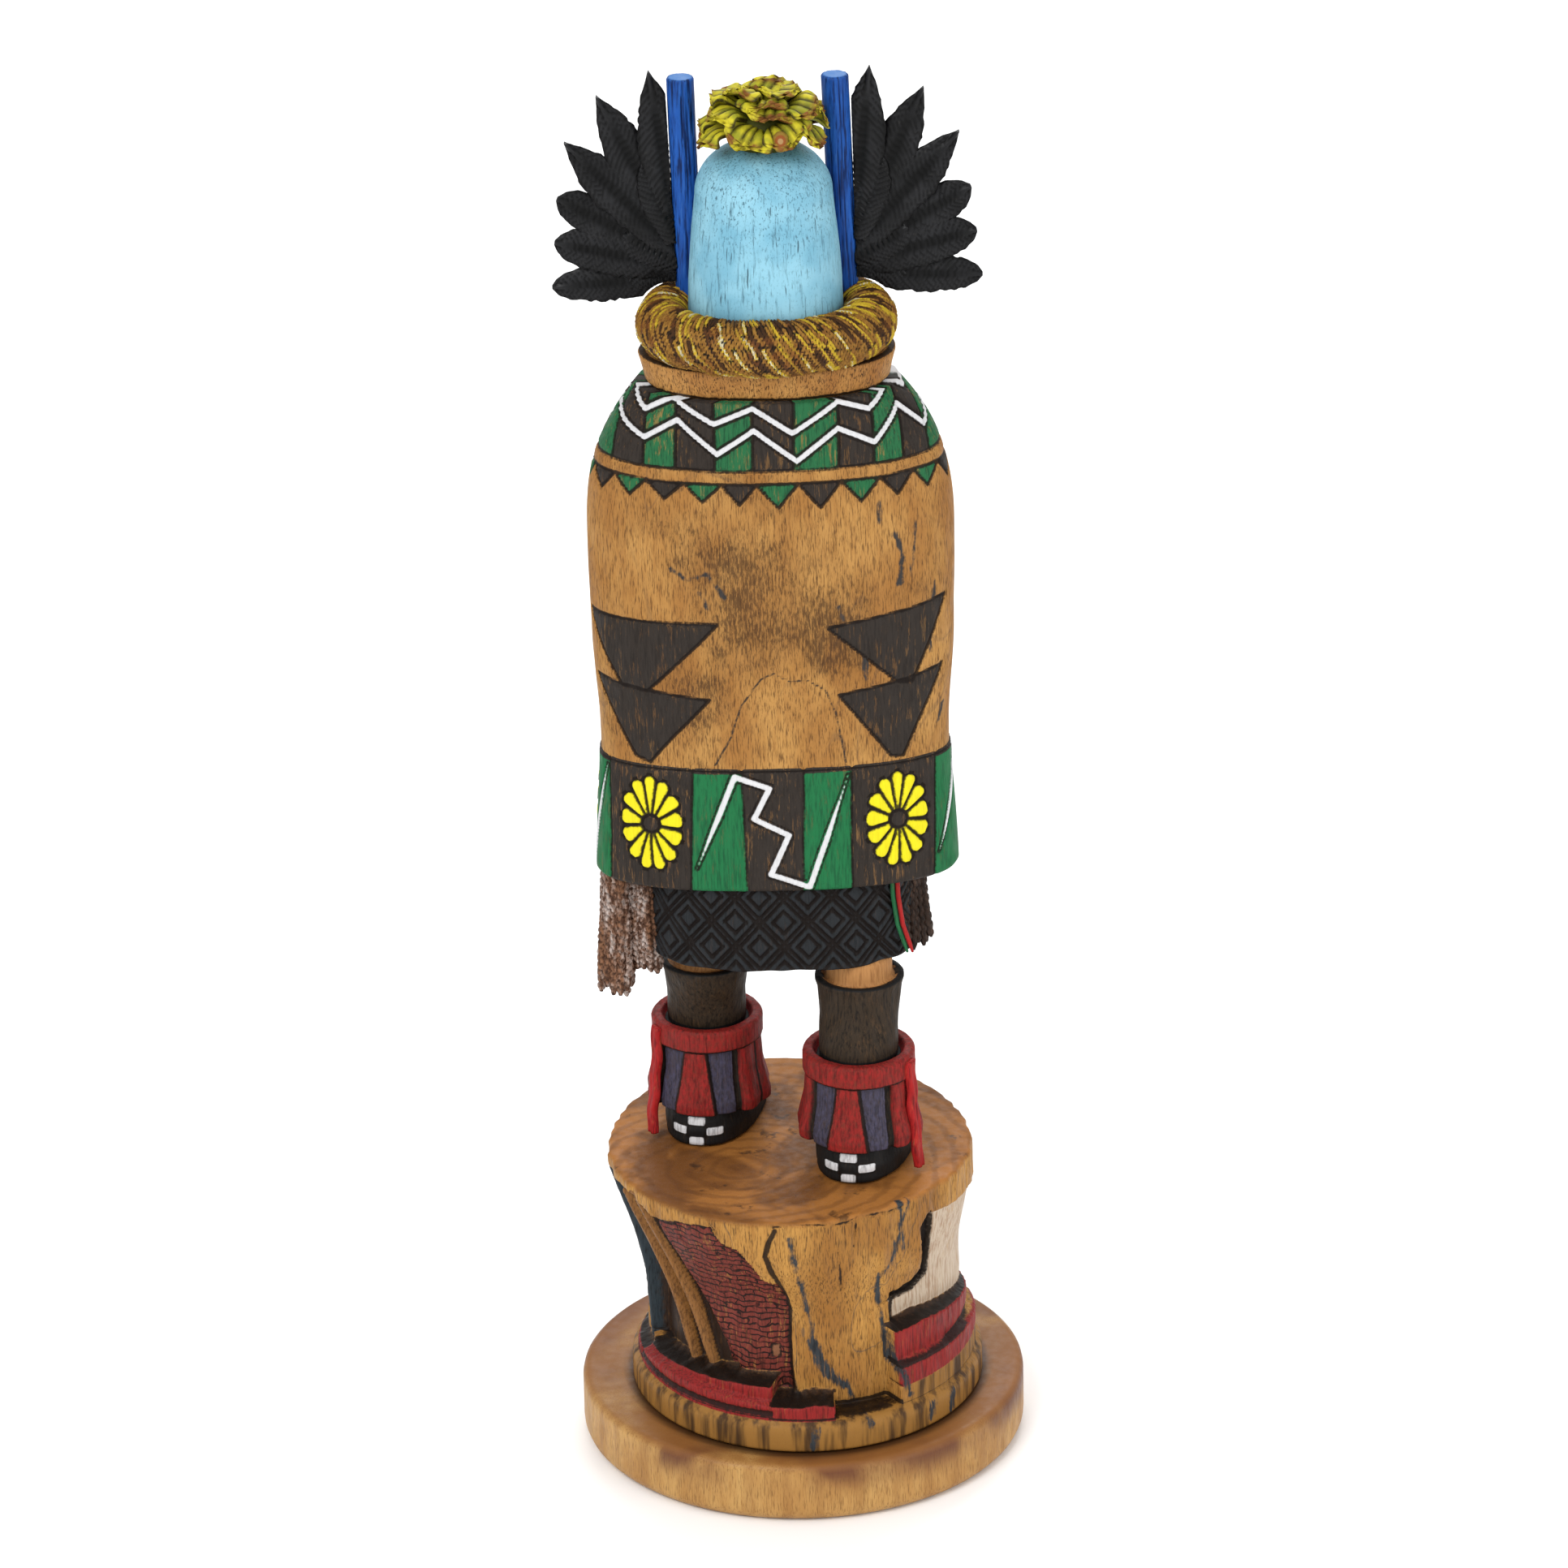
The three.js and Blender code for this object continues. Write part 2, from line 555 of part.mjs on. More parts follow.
// One bundle of the tassel, which spreads at the foot.
function bundleSolid(bundle) {
  const ring = (level, share, drift) => oval(up(level), bundle.lobe * share, bundle.depth * share, {
    x: bundle.x + bundle.spread * drift, y: bundle.y, sides: 10,
  });
  return toSolid(skin([
    ring(bundle.low, 0.78, 1), ring(bundle.low + 2.4, 1.15, 0.8), ring(bundle.low + 8, 1.06, 0.2),
    ring(bundle.top, 0.95, 0),
  ]));
}

function strandSolid(strand, power) {
  const ring = (level, share) => oval(up(level), strand.width * share, strand.depth * share, {
    x: strand.x, y: strand.y, sides: 10, power,
  });
  return toSolid(skin([ring(strand.low, 0.5), ring(strand.low + 3, 1), ring(strand.top, 0.8)]));
}

// A rod's shaft; grow gives the bore that it stands in.
function rodSolid(rod, grow) {
  const low = new THREE.Vector3(rod.low, ROD_Y, up(RUFF_LEVEL) - grow);
  const high = new THREE.Vector3(rod.high, ROD_Y, up(ROD_TOP) + grow * 40);
  const shaft = new THREE.CylinderGeometry(ROD_RADIUS + grow, ROD_RADIUS + grow, low.distanceTo(high), 16)
    .rotateX(Math.PI / 2);
  const turn = new THREE.Quaternion().setFromUnitVectors(
    new THREE.Vector3(0, 0, 1), high.clone().sub(low).normalize(),
  );
  shaft.applyQuaternion(turn);
  const middle = low.clone().add(high).multiplyScalar(0.5);
  return toSolid(shaft.translate(middle.x, middle.y, middle.z));
}

// One feather from root to tip, thick along its midrib and thin at its edges.
function featherSolid(root, tip, halfWidth, blunt, ridge, lift) {
  const ahead = tip.clone().sub(root).normalize();
  const across = new THREE.Vector3(-ahead.z, 0, ahead.x);
  const widths = [[0, 0.75], [0.66, 1], [0.86, blunt ? 0.85 : 0.72], [1, blunt ? 0.3 : 0.1]];
  return toSolid(skin(widths.map(([share, width]) => {
    const centre = root.clone().lerp(tip, share);
    centre.y += lift;
    const half = halfWidth * width;
    const thick = mix(ridge, WING_TIP, share ** 3);
    return [[-1, 0], [0, -thick], [1, 0], [0, thick]].map(([side, deep]) =>
      new THREE.Vector3(
        centre.x + across.x * half * side, centre.y + deep, centre.z + across.z * half * side,
      ));
  })));
}

// A crow wing that stands beside the rod and on the ruff.
function wingSolid(side, tilt, rod) {
  const rootOut = Math.abs(rod.low - FIGURE_X) + WING_INSET;
  const place = (spanShare, riseShare) => {
    const dx = WING_SPAN * spanShare;
    const dz = WING_RISE * riseShare;
    const turn = rad(tilt);
    return new THREE.Vector3(
      FIGURE_X + side * (rootOut + dx * Math.cos(turn) - dz * Math.sin(turn)),
      ROD_Y, up(WING_FOOT + dx * Math.sin(turn) + dz * Math.cos(turn)),
    );
  };
  const blade = (ridge, layer) => ([spanShare, riseShare, rootShare, width, blunt], i) => featherSolid(
    place(0, rootShare), place(spanShare, riseShare), FEATHER_HALF_WIDTH * width, blunt, ridge,
    layer * (i % 2 ? 0.35 : -0.35),
  );
  const feathers = [...FEATHERS.map(blade(WING_RIDGE, 1)), ...COVERTS.map(blade(WING_COVERT_RIDGE, 0.6))];
  const centre = (rod.low + rod.high) / 2;
  const wide = RUFF_HALF_WIDTH * 3;
  const inside = new THREE.BoxGeometry(wide, RUFF_HALF_DEPTH * 4, WING_RISE * 4)
    .translate(centre - (side * wide) / 2, 0, up(WING_FOOT));
  return join(feathers)
    .subtract(rodSolid(rod, CLEARANCE))
    .subtract(toSolid(inside))
    .subtract(toSolid(ruffGeometry(CLEARANCE, false)));
}

// One ribbed petal, narrow at its root and scalloped at its end.
function petalSolid(angle, steep, share) {
  const ahead = new THREE.Vector3(PETAL_REACH_X * Math.cos(angle), PETAL_REACH_Y * Math.sin(angle), 0);
  const reach = ahead.length() * share;
  ahead.normalize();
  const across = new THREE.Vector3(-ahead.y, ahead.x, 0);
  const rise = new THREE.Vector3(ahead.x * Math.cos(steep), ahead.y * Math.cos(steep), Math.sin(steep));
  const normal = new THREE.Vector3().crossVectors(rise, across).negate();
  const centre = new THREE.Vector3(TUFT.x, TUFT.y, up(TUFT_LEVEL));
  const ribs = [-1, 0, 1];
  const rings = [[0.3, 0.35, 0], [0.78, 1, 0.3], [1, 0.75, -0.5]].map(([along, width, bend]) => {
    const middle = centre.clone().addScaledVector(rise, reach * along).addScaledVector(normal, bend);
    const point = (rib, i, under) => middle.clone()
      .addScaledVector(across, rib * PETAL_WIDTH * width)
      .addScaledVector(rise, along === 1 ? -Math.abs(rib) * 1.2 : 0)
      .addScaledVector(normal, under * PETAL_THICKNESS + (i % 2 ? 0.45 : -0.25) * width);
    return [...ribs.map((rib, i) => point(rib, i, -1)), ...ribs.map((rib, i) => point(rib, i, 1)).reverse()];
  });
  return toSolid(skin(rings));
}

function tuftSolid() {
  const core = new THREE.SphereGeometry(1, 10, 5).scale(...TUFT_CORE);
  core.translate(TUFT.x, TUFT.y, up(TUFT_LEVEL));
  const petals = PETAL_RINGS.flatMap(([count, steep, share, first]) =>
    Array.from({ length: count }, (_, i) => petalSolid(rad(first + (i * 360) / count), rad(steep), share)));
  return join([toSolid(core), ...petals])
    .subtract(headSolid(CLEARANCE))
    .subtract(rodSolid(ROD_LEFT, CLEARANCE))
    .subtract(rodSolid(ROD_RIGHT, CLEARANCE));
}

function figureSolid() {
  return join([
    stumpSolid(),
    legSolid(RIGHT_FOOT),
    legSolid(LEFT_FOOT),
    skirtSolid(),
    shawlSolid(),
    bundleSolid(TASSEL_OUTER),
    bundleSolid(TASSEL_INNER),
    strandSolid(FRINGE, 2.4),
    strandSolid(RIBBON, 3),
    collarSolid(),
    toSolid(ruffGeometry(0, true)),
    headSolid(0),
  ])
    .subtract(rodSolid(ROD_LEFT, CLEARANCE))
    .subtract(rodSolid(ROD_RIGHT, CLEARANCE));
}

function piece(name, geometry, color, roughness) {
  geometry.deleteAttribute('normal');
  geometry.deleteAttribute('uv');
  const mesh = new THREE.Mesh(geometry, new THREE.MeshStandardMaterial({ color, roughness, metalness: 0 }));
  mesh.name = name;
  return mesh;
}

const doll = new THREE.Group();
doll.add(
  piece('base_disc', discGeometry(), 0xc79a5f, 0.6),
  piece('carved_figure', toGeometry(figureSolid()), 0xa9825a, 0.75),
  piece('wing_left', toGeometry(wingSolid(-1, 0, ROD_LEFT)), 0x1b1a19, 0.7),
  piece('wing_right', toGeometry(wingSolid(1, WING_TILT_RIGHT, ROD_RIGHT)), 0x1b1a19, 0.7),
  piece('rod_left', toGeometry(rodSolid(ROD_LEFT, 0)), 0x1b5cb8, 0.55),
  piece('rod_right', toGeometry(rodSolid(ROD_RIGHT, 0)), 0x1b5cb8, 0.55),
  piece('flower_tuft', toGeometry(tuftSolid()), 0xd9cf3a, 0.7),
);

export default doll;
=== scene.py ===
import math

import bmesh
import bpy
import numpy as np
from mathutils import Matrix, Vector


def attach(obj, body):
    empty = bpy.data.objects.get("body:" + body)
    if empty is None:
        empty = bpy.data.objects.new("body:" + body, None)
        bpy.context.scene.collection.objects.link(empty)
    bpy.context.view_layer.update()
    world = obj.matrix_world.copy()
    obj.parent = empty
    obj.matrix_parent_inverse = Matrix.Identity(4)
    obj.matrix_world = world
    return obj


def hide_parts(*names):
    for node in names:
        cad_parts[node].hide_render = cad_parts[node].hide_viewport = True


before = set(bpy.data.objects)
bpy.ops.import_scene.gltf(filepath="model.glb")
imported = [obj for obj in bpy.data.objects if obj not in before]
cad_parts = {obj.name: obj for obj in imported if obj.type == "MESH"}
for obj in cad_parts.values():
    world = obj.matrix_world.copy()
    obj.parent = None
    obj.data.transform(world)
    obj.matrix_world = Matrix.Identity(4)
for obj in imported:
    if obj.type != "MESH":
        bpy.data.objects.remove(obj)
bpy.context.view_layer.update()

MM = 0.001

# Sizes in millimetres, as on the carved doll
DISC_RADIUS, DISC_HEIGHT = 43.5, 12.4
STUMP_BASE, STUMP_TOP = 12.7, 60.4
WAIST_RADIUS, RIM_RADIUS = 30.2, 35.6
LIP_X, LIP_Y, LIP_HALF_WIDTH, LIP_HALF_DEPTH = 0.9, -2.0, 34.5, 36.4
LIP_HEIGHT, LIP_ROUND = 6.4, 2.4
FIGURE_X, SKIRT_X = -2.9, -2.0
SKIRT_HEM, SHAWL_HEM, SHAWL_TOP = 42.8, 60.2, 158.8
BAND_HEIGHT = 25.1
SHAWL_HALF_WIDTH, SHOULDER_HALF_WIDTH = 34.4, 24.4
COLLAR_TOP, RUFF_LEVEL, HEAD_TOP = 165.0, 170.0, 204.6
RUFF_HALF_WIDTH, RUFF_HALF_DEPTH, RUFF_TUBE = 19.1, 15.5, 5.2
HEAD_RADIUS, HEAD_DEPTH, HEAD_SHOULDER, HEAD_TAPER = 14.6, 14.2, 9.5, 0.87
ROD_RADIUS, ROD_TOP, ROD_Y = 2.55, 215.4, 6.5
TUFT_X, TUFT_Y, TUFT_LEVEL = -2.5, -1.2, 207.2
PAINT_LEVEL = 0.76


def up(level):
    return STUMP_TOP + level


# Numbers and shapes


def mix(a, b, share):
    return a + (b - a) * share


def ease(x, low, high):
    share = np.clip((np.asarray(x, float) - low) / (high - low), 0, 1)
    return share * share * (3 - 2 * share)


def hashed(x, y, z):
    value = np.sin(x * 12.9898 + y * 78.233 + z * 37.719) * 43758.5453
    return value - np.floor(value)


def rough(x, y, z=0.0, size=1.0, seed=0.0):
    """Smooth noise from -1 to 1 whose bumps are about one size across."""
    x, y, z = np.broadcast_arrays(*(np.asarray(v, float) / size + seed * 7.31 for v in (x, y, z)))
    base = [np.floor(v) for v in (x, y, z)]
    part = [ease(v - b, 0, 1) for v, b in zip((x, y, z), base)]
    total = 0
    for i in (0, 1):
        for j in (0, 1):
            for k in (0, 1):
                weight = 1
                for bit, share in zip((i, j, k), part):
                    weight = weight * (share if bit else 1 - share)
                total = total + weight * hashed(base[0] + i, base[1] + j, base[2] + k)
    return total * 2 - 1


def line_distance(x, y, points):
    """How far each place is from an open line through the points, and how far along it that is."""
    best = np.full(np.shape(x), 1e9)
    along = np.zeros(np.shape(x))
    run = 0.0
    for (ax, ay), (bx, by) in zip(points[:-1], points[1:]):
        dx, dy = bx - ax, by - ay
        length = math.hypot(dx, dy)
        share = np.clip(((x - ax) * dx + (y - ay) * dy) / length**2, 0, 1)
        gap = np.hypot(x - ax - dx * share, y - ay - dy * share)
        along = np.where(gap < best, run + share * length, along)
        best = np.minimum(best, gap)
        run += length
    return best, along


def inside_distance(x, y, corners):
    """Distance to a closed outline, negative inside it."""
    gap, _ = line_distance(x, y, list(corners) + [corners[0]])
    inside = np.zeros(np.shape(x), bool)
    for (ax, ay), (bx, by) in zip(corners, list(corners[1:]) + [corners[0]]):
        crosses = (ay > y) != (by > y)
        if by != ay:
            inside ^= crosses & (x < (bx - ax) * (y - ay) / (by - ay) + ax)
    return np.where(inside, -gap, gap)


def loop(angle, half_width, back, front=None, power=2.0):
    """Points of a rounded outline, squarer as power grows, deeper to the front if asked."""
    c, s = np.cos(angle), np.sin(angle)
    front = back if front is None else front
    x = np.sign(c) * np.abs(c) ** (2 / power) * half_width
    y = np.sign(s) * np.abs(s) ** (2 / power) * np.where(s > 0, front, back)
    return x, y


def along_profile(points, count):
    """Resamples a profile evenly by its length."""
    points = np.array(points, float)
    run = np.r_[0, np.cumsum(np.linalg.norm(np.diff(points, axis=0), axis=1))]
    want = np.linspace(0, run[-1], count)
    return [np.interp(want, run, points[:, k])[:, None] for k in range(points.shape[1])]


def round_angles(back, front):
    """Angles once round, starting at the left side, with more of them on the back, towards -Y."""
    return np.r_[np.linspace(-np.pi, 0, back, False), np.linspace(0, np.pi, front, False)][None, :]


def normals(points):
    around = np.roll(points, -1, 1) - np.roll(points, 1, 1)
    upward = np.gradient(points, axis=0)
    facing = np.cross(around, upward)
    return facing / np.maximum(np.linalg.norm(facing, axis=2, keepdims=True), 1e-9)


def raised(points, height):
    return points + normals(points) * np.asarray(height)[..., None]


def arc_length(points, start):
    """Distance round each level from the column called start, negative on its left."""
    steps = np.linalg.norm(np.diff(points, axis=1), axis=2)
    run = np.c_[np.zeros(len(points)), np.cumsum(steps, 1)]
    return run - run[:, start : start + 1]


def grid_mesh(name, points, fields, ends=(True, True)):
    """A mesh from a grid of points in millimetres, closed round and at the ends that are wanted."""
    rows, cols, _ = points.shape
    index = np.arange(rows * cols).reshape(rows, cols)
    right = np.roll(index, -1, 1)
    faces = np.stack([index[:-1], right[:-1], right[1:], index[1:]], -1).reshape(-1, 4).tolist()
    vertices = points.reshape(-1, 3)
    values = {key: np.broadcast_to(value, (rows, cols)).ravel() for key, value in fields.items()}
    for row, wanted in ((0, ends[0]), (-1, ends[1])):
        if not wanted:
            continue
        middle = np.full(cols, len(vertices))
        vertices = np.vstack([vertices, points[row].mean(0)])
        values = {key: np.append(value, value[index[row]].mean()) for key, value in values.items()}
        a, b = index[row], np.roll(index[row], -1)
        faces += np.stack([b, a, middle] if row == 0 else [a, b, middle], -1).tolist()
    mesh = bpy.data.meshes.new(name)
    mesh.from_pydata((vertices * MM).tolist(), [], faces)
    for key, value in values.items():
        mesh.attributes.new(key, "FLOAT", "POINT").data.foreach_set("value", value.astype(np.float32))
    return mesh


def linked(name, data):
    piece = bpy.data.objects.new(name, data)
    bpy.context.scene.collection.objects.link(piece)
    return piece


def grid_object(name, points, material, fields=None, ends=(True, True), node="carved_figure"):
    mesh = grid_mesh(name, points, fields or {}, ends)
    mesh.polygons.foreach_set("use_smooth", np.ones(len(mesh.polygons), bool))
    mesh.materials.append(material)
    return settle(linked(name, mesh), node)


def settle(piece, node):
    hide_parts(node)
    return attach(piece, "root")


def weld(piece):
    """Merges doubled seam vertices and turns the faces outwards."""
    mesh = bmesh.new()
    mesh.from_mesh(piece.data)
    bmesh.ops.remove_doubles(mesh, verts=mesh.verts, dist=1e-6)
    bmesh.ops.recalc_face_normals(mesh, faces=mesh.faces)
    mesh.to_mesh(piece.data)
    mesh.free()


# Shader building


def colour(red, green, blue):
    """A paint colour given as on a screen, from 0 to 255, and dulled for the bright studio light."""
    linear = (((v / 255 + 0.055) / 1.055) ** 2.4 if v > 10 else v / 255 / 12.92 for v in (red, green, blue))
    return tuple(PAINT_LEVEL * v for v in linear) + (1.0,)


def put(tree, kind, inputs=None, **settings):
    node = tree.nodes.new(kind)
    for key, value in settings.items():
        setattr(node, key, value)
    for key, value in (inputs or {}).items():
        if isinstance(value, bpy.types.NodeSocket):
            tree.links.new(value, node.inputs[key])
        else:
            node.inputs[key].default_value = value
    return node


def maths(tree, operation, *values):
    return put(tree, "ShaderNodeMath", dict(enumerate(values)), operation=operation).outputs[0]


def times(tree, a, b):
    return maths(tree, "MULTIPLY", a, b)


def blend(tree, factor, a, b, kind="MIX"):
    node = put(tree, "ShaderNodeMix", {0: factor, 6: a, 7: b}, data_type="RGBA", blend_type=kind)
    return node.outputs[2]


def span(tree, value, low, high, to_low=0.0, to_high=1.0):
    inputs = {"Value": value, "From Min": low, "From Max": high, "To Min": to_low, "To Max": to_high}
    return put(tree, "ShaderNodeMapRange", inputs, interpolation_type="SMOOTHSTEP").outputs[0]


def placed_vector(tree, scale, location=(0, 0, 0)):
    """The place on the doll in metres, stretched and moved."""
    place = put(tree, "ShaderNodeTexCoord").outputs["Object"]
    return put(tree, "ShaderNodeMapping", {"Vector": place, "Location": location, "Scale": scale}).outputs[0]


def out_from(tree, scale, location):
    """How far a place is from an upright line, for growth rings."""
    shifted = placed_vector(tree, scale, location)
    return put(tree, "ShaderNodeVectorMath", {0: shifted}, operation="LENGTH").outputs["Value"]


def grain(tree, squeeze, scale, detail=3.0, roughness=0.6, distortion=0.0):
    """Noise in the wood; a squeeze under 1 draws it out along the height."""
    inputs = {"Vector": placed_vector(tree, (1, 1, squeeze)), "Scale": scale, "Detail": detail,
              "Roughness": roughness, "Distortion": distortion}
    return put(tree, "ShaderNodeTexNoise", inputs).outputs["Fac"]


def field(tree, name):
    return put(tree, "ShaderNodeAttribute", attribute_name=name).outputs["Fac"]


def node_group(name, inputs, outputs):
    tree = bpy.data.node_groups.new(name, "ShaderNodeTree")
    for label, value in inputs.items():
        kind = "NodeSocketColor" if isinstance(value, tuple) else "NodeSocketFloat"
        tree.interface.new_socket(label, in_out="INPUT", socket_type=kind).default_value = value
    for label, kind in outputs.items():
        tree.interface.new_socket(label, in_out="OUTPUT", socket_type=kind)
    return tree, tree.nodes.new("NodeGroupInput").outputs, tree.nodes.new("NodeGroupOutput").inputs


def use(tree, group, inputs):
    node = tree.nodes.new("ShaderNodeGroup")
    node.node_tree = group
    for key, value in inputs.items():
        if isinstance(value, bpy.types.NodeSocket):
            tree.links.new(value, node.inputs[key])
        else:
            node.inputs[key].default_value = value
    return node.outputs


def root_wood_group():
    """Cottonwood root: short dark strokes along the grain, cloudy tone, blue-black spalting."""
    tree, given, out = node_group(
        "root_wood",
        {"Light": colour(196, 146, 86), "Middle": colour(158, 108, 58), "Dark": colour(78, 48, 26),
         "Stain": colour(48, 50, 54), "Strokes": 0.6, "Spalt": 0.3},
        {"Color": "NodeSocketColor", "Height": "NodeSocketFloat"},
    )
    fibre = grain(tree, 0.09, 4300, 2.0, 0.7)
    flow = grain(tree, 0.16, 900, 4.0, 0.65)
    cloud = grain(tree, 0.45, 75, 3.0, 0.6, 0.4)
    tone = blend(tree, span(tree, cloud, 0.35, 0.68), given["Light"], given["Middle"])
    tone = blend(tree, span(tree, flow, 0.42, 0.75, 0.0, 0.6), tone, given["Middle"])
    mark = times(tree, span(tree, fibre, 0.46, 0.7), given["Strokes"])
    tone = blend(tree, mark, tone, given["Dark"])
    blot = grain(tree, 0.22, 150, 4.0, 0.65, 0.8)
    patch = grain(tree, 0.5, 38, 2.0, 0.5)
    stain = times(tree, span(tree, blot, 0.6, 0.72), span(tree, patch, 0.5, 0.64))
    vein = maths(tree, "SUBTRACT", grain(tree, 0.4, 30, 3.0, 0.55, 0.6), 0.5)
    vein = maths(tree, "ABSOLUTE", vein)
    thread = times(tree, span(tree, vein, 0.0035, 0.0015), span(tree, patch, 0.42, 0.5))
    spalt = times(tree, maths(tree, "MAXIMUM", stain, thread), given["Spalt"])
    tree.links.new(blend(tree, spalt, tone, given["Stain"]), out["Color"])
    tree.links.new(maths(tree, "SUBTRACT", flow, times(tree, fibre, 0.8)), out["Height"])
    return tree


def paint_group():
    """A coat of thin paint inside an outline: uneven edge, brush streaks, grain showing through."""
    tree, given, out = node_group(
        "thin_paint",
        {"Under": colour(170, 118, 66), "Paint": colour(60, 140, 90), "Shade": colour(20, 60, 40),
         "Distance": 0.0, "Edge": 0.1, "Jitter": 0.25, "Streaks": 0.5, "Wear": 0.3},
        {"Color": "NodeSocketColor", "Mask": "NodeSocketFloat"},
    )
    wobble = maths(tree, "SUBTRACT", grain(tree, 0.6, 1500, 2.0), 0.5)
    placed = maths(tree, "ADD", given["Distance"], times(tree, wobble, given["Jitter"]))
    mask = put(tree, "ShaderNodeMapRange", {
        "Value": placed, "From Min": given["Edge"], "From Max": times(tree, given["Edge"], -1.0),
    }, interpolation_type="SMOOTHSTEP").outputs[0]
    streak = grain(tree, 0.1, 2300, 3.0, 0.65)
    streaked = times(tree, span(tree, streak, 0.42, 0.7), given["Streaks"])
    painted = blend(tree, streaked, given["Paint"], given["Shade"])
    bare = grain(tree, 0.12, 1700, 4.0, 0.7)
    thin = grain(tree, 1, 160, 2.0)
    thin = maths(tree, "ADD", bare, times(tree, thin, 0.35))
    worn = times(tree, span(tree, thin, 0.72, 0.86), given["Wear"])
    cover = times(tree, mask, maths(tree, "SUBTRACT", 1.0, worn))
    tree.links.new(blend(tree, cover, given["Under"], painted), out["Color"])
    tree.links.new(mask, out["Mask"])
    return tree


def burn_group():
    """A burnt line of a given half-width, a little uneven."""
    tree, given, out = node_group(
        "burnt_line",
        {"Under": colour(170, 118, 66), "Burn": colour(24, 15, 10), "Distance": 1.0, "Reach": 0.3},
        {"Color": "NodeSocketColor", "Mask": "NodeSocketFloat"},
    )
    wobble = times(tree, maths(tree, "SUBTRACT", grain(tree, 1, 1300, 2.0), 0.5), 0.45)
    placed = maths(tree, "SUBTRACT", maths(tree, "ADD", given["Distance"], wobble), given["Reach"])
    mask = span(tree, placed, 0.13, -0.13)
    tree.links.new(blend(tree, times(tree, mask, 0.93), given["Under"], given["Burn"]), out["Color"])
    tree.links.new(mask, out["Mask"])
    return tree


ROOT_WOOD = root_wood_group()
THIN_PAINT = paint_group()
BURNT_LINE = burn_group()

GREEN, GREEN_SHADE = colour(40, 108, 66), colour(18, 58, 38)
CHARCOAL, CHARCOAL_SHADE = colour(52, 45, 40), colour(27, 22, 19)
WHITE, WHITE_SHADE = colour(232, 232, 234), colour(172, 166, 164)
YELLOW, YELLOW_SHADE = colour(246, 234, 34), colour(200, 174, 28)
RED, RED_SHADE = colour(178, 36, 36), colour(86, 17, 19)
PURPLE, PURPLE_SHADE = colour(86, 84, 112), colour(44, 44, 58)
BLACK, BLACK_SHADE = colour(29, 28, 28), colour(12, 11, 11)


def new_material(name):
    material = bpy.data.materials.new(name)
    material.use_nodes = True
    tree = material.node_tree
    tree.nodes.clear()
    return material, tree


GRAIN_DEPTH = 0.15


def finish_material(tree, base, height, strength=0.35, low=0.5, high=0.72, specular=0.14):
    """Closes a material: base colour, grain as a bump, roughness that follows the grain."""
    bump = put(tree, "ShaderNodeBump", {"Height": height, "Strength": strength, "Distance": GRAIN_DEPTH * MM})
    polish = grain(tree, 0.4, 500, 2.0)
    surface = put(tree, "ShaderNodeBsdfPrincipled", {
        "Base Color": base, "Roughness": span(tree, polish, 0.3, 0.7, low, high),
        "Specular IOR Level": specular, "Normal": bump.outputs[0],
    })
    put(tree, "ShaderNodeOutputMaterial", {"Surface": surface.outputs[0]})


def coat(tree, under, key, paint, shade, **options):
    """Thin paint inside the outline held by one of the mesh's fields, or all over without one."""
    distance = field(tree, key) if key else -9.0
    given = {"Under": under, "Paint": paint, "Shade": shade, "Distance": distance, **options}
    return use(tree, THIN_PAINT, given)


def burnt(tree, under, key, reach, **options):
    given = {"Under": under, "Distance": field(tree, key), "Reach": reach, **options}
    return use(tree, BURNT_LINE, given)["Color"]


def layered_material(name, wood=None, layers=(), burn=None, **finish):
    """Root wood with coats of paint, each inside the outline held by one of the mesh's fields."""
    material, tree = new_material(name)
    under = use(tree, ROOT_WOOD, wood or {})
    base = under["Color"]
    for key, paint, shade, options in layers:
        base = coat(tree, base, key, paint, shade, **options)["Color"]
    if burn:
        base = burnt(tree, base, "burn", burn)
    finish_material(tree, base, under["Height"], **finish)
    return material


# Shawl


def shawl_half_width(level):
    share = (level - SHAWL_HEM) / (SHAWL_TOP - SHAWL_HEM)
    tuck = np.exp(-(((share - 0.27) / 0.17) ** 2)) * 1.4
    fall = np.maximum(0, (share - 0.7) / 0.3)
    return SHAWL_HALF_WIDTH * (1 - (1 - SHOULDER_HALF_WIDTH / SHAWL_HALF_WIDTH) * fall**2.6) - tuck


def shawl_surface(angle, level, grow):
    share = (level - SHAWL_HEM) / (SHAWL_TOP - SHAWL_HEM)
    chest = np.exp(-(((share - 0.55) / 0.22) ** 2)) * 4.2
    dip = np.exp(-(((share - 0.3) / 0.12) ** 2)) * 1.2
    power = mix(2.35, 2.15, share)
    x, y = loop(angle, shawl_half_width(level) + grow, 14.6 - dip + grow, 15.6 + chest + grow, power)
    degrees = np.degrees(angle)
    lap = 1 + 0.06 * np.clip((150 - degrees) / 67, 0, 1) * ease(degrees, 82.4, 83.2)
    return np.stack([FIGURE_X + x * lap, y * lap, up(level) + 0 * x], -1)


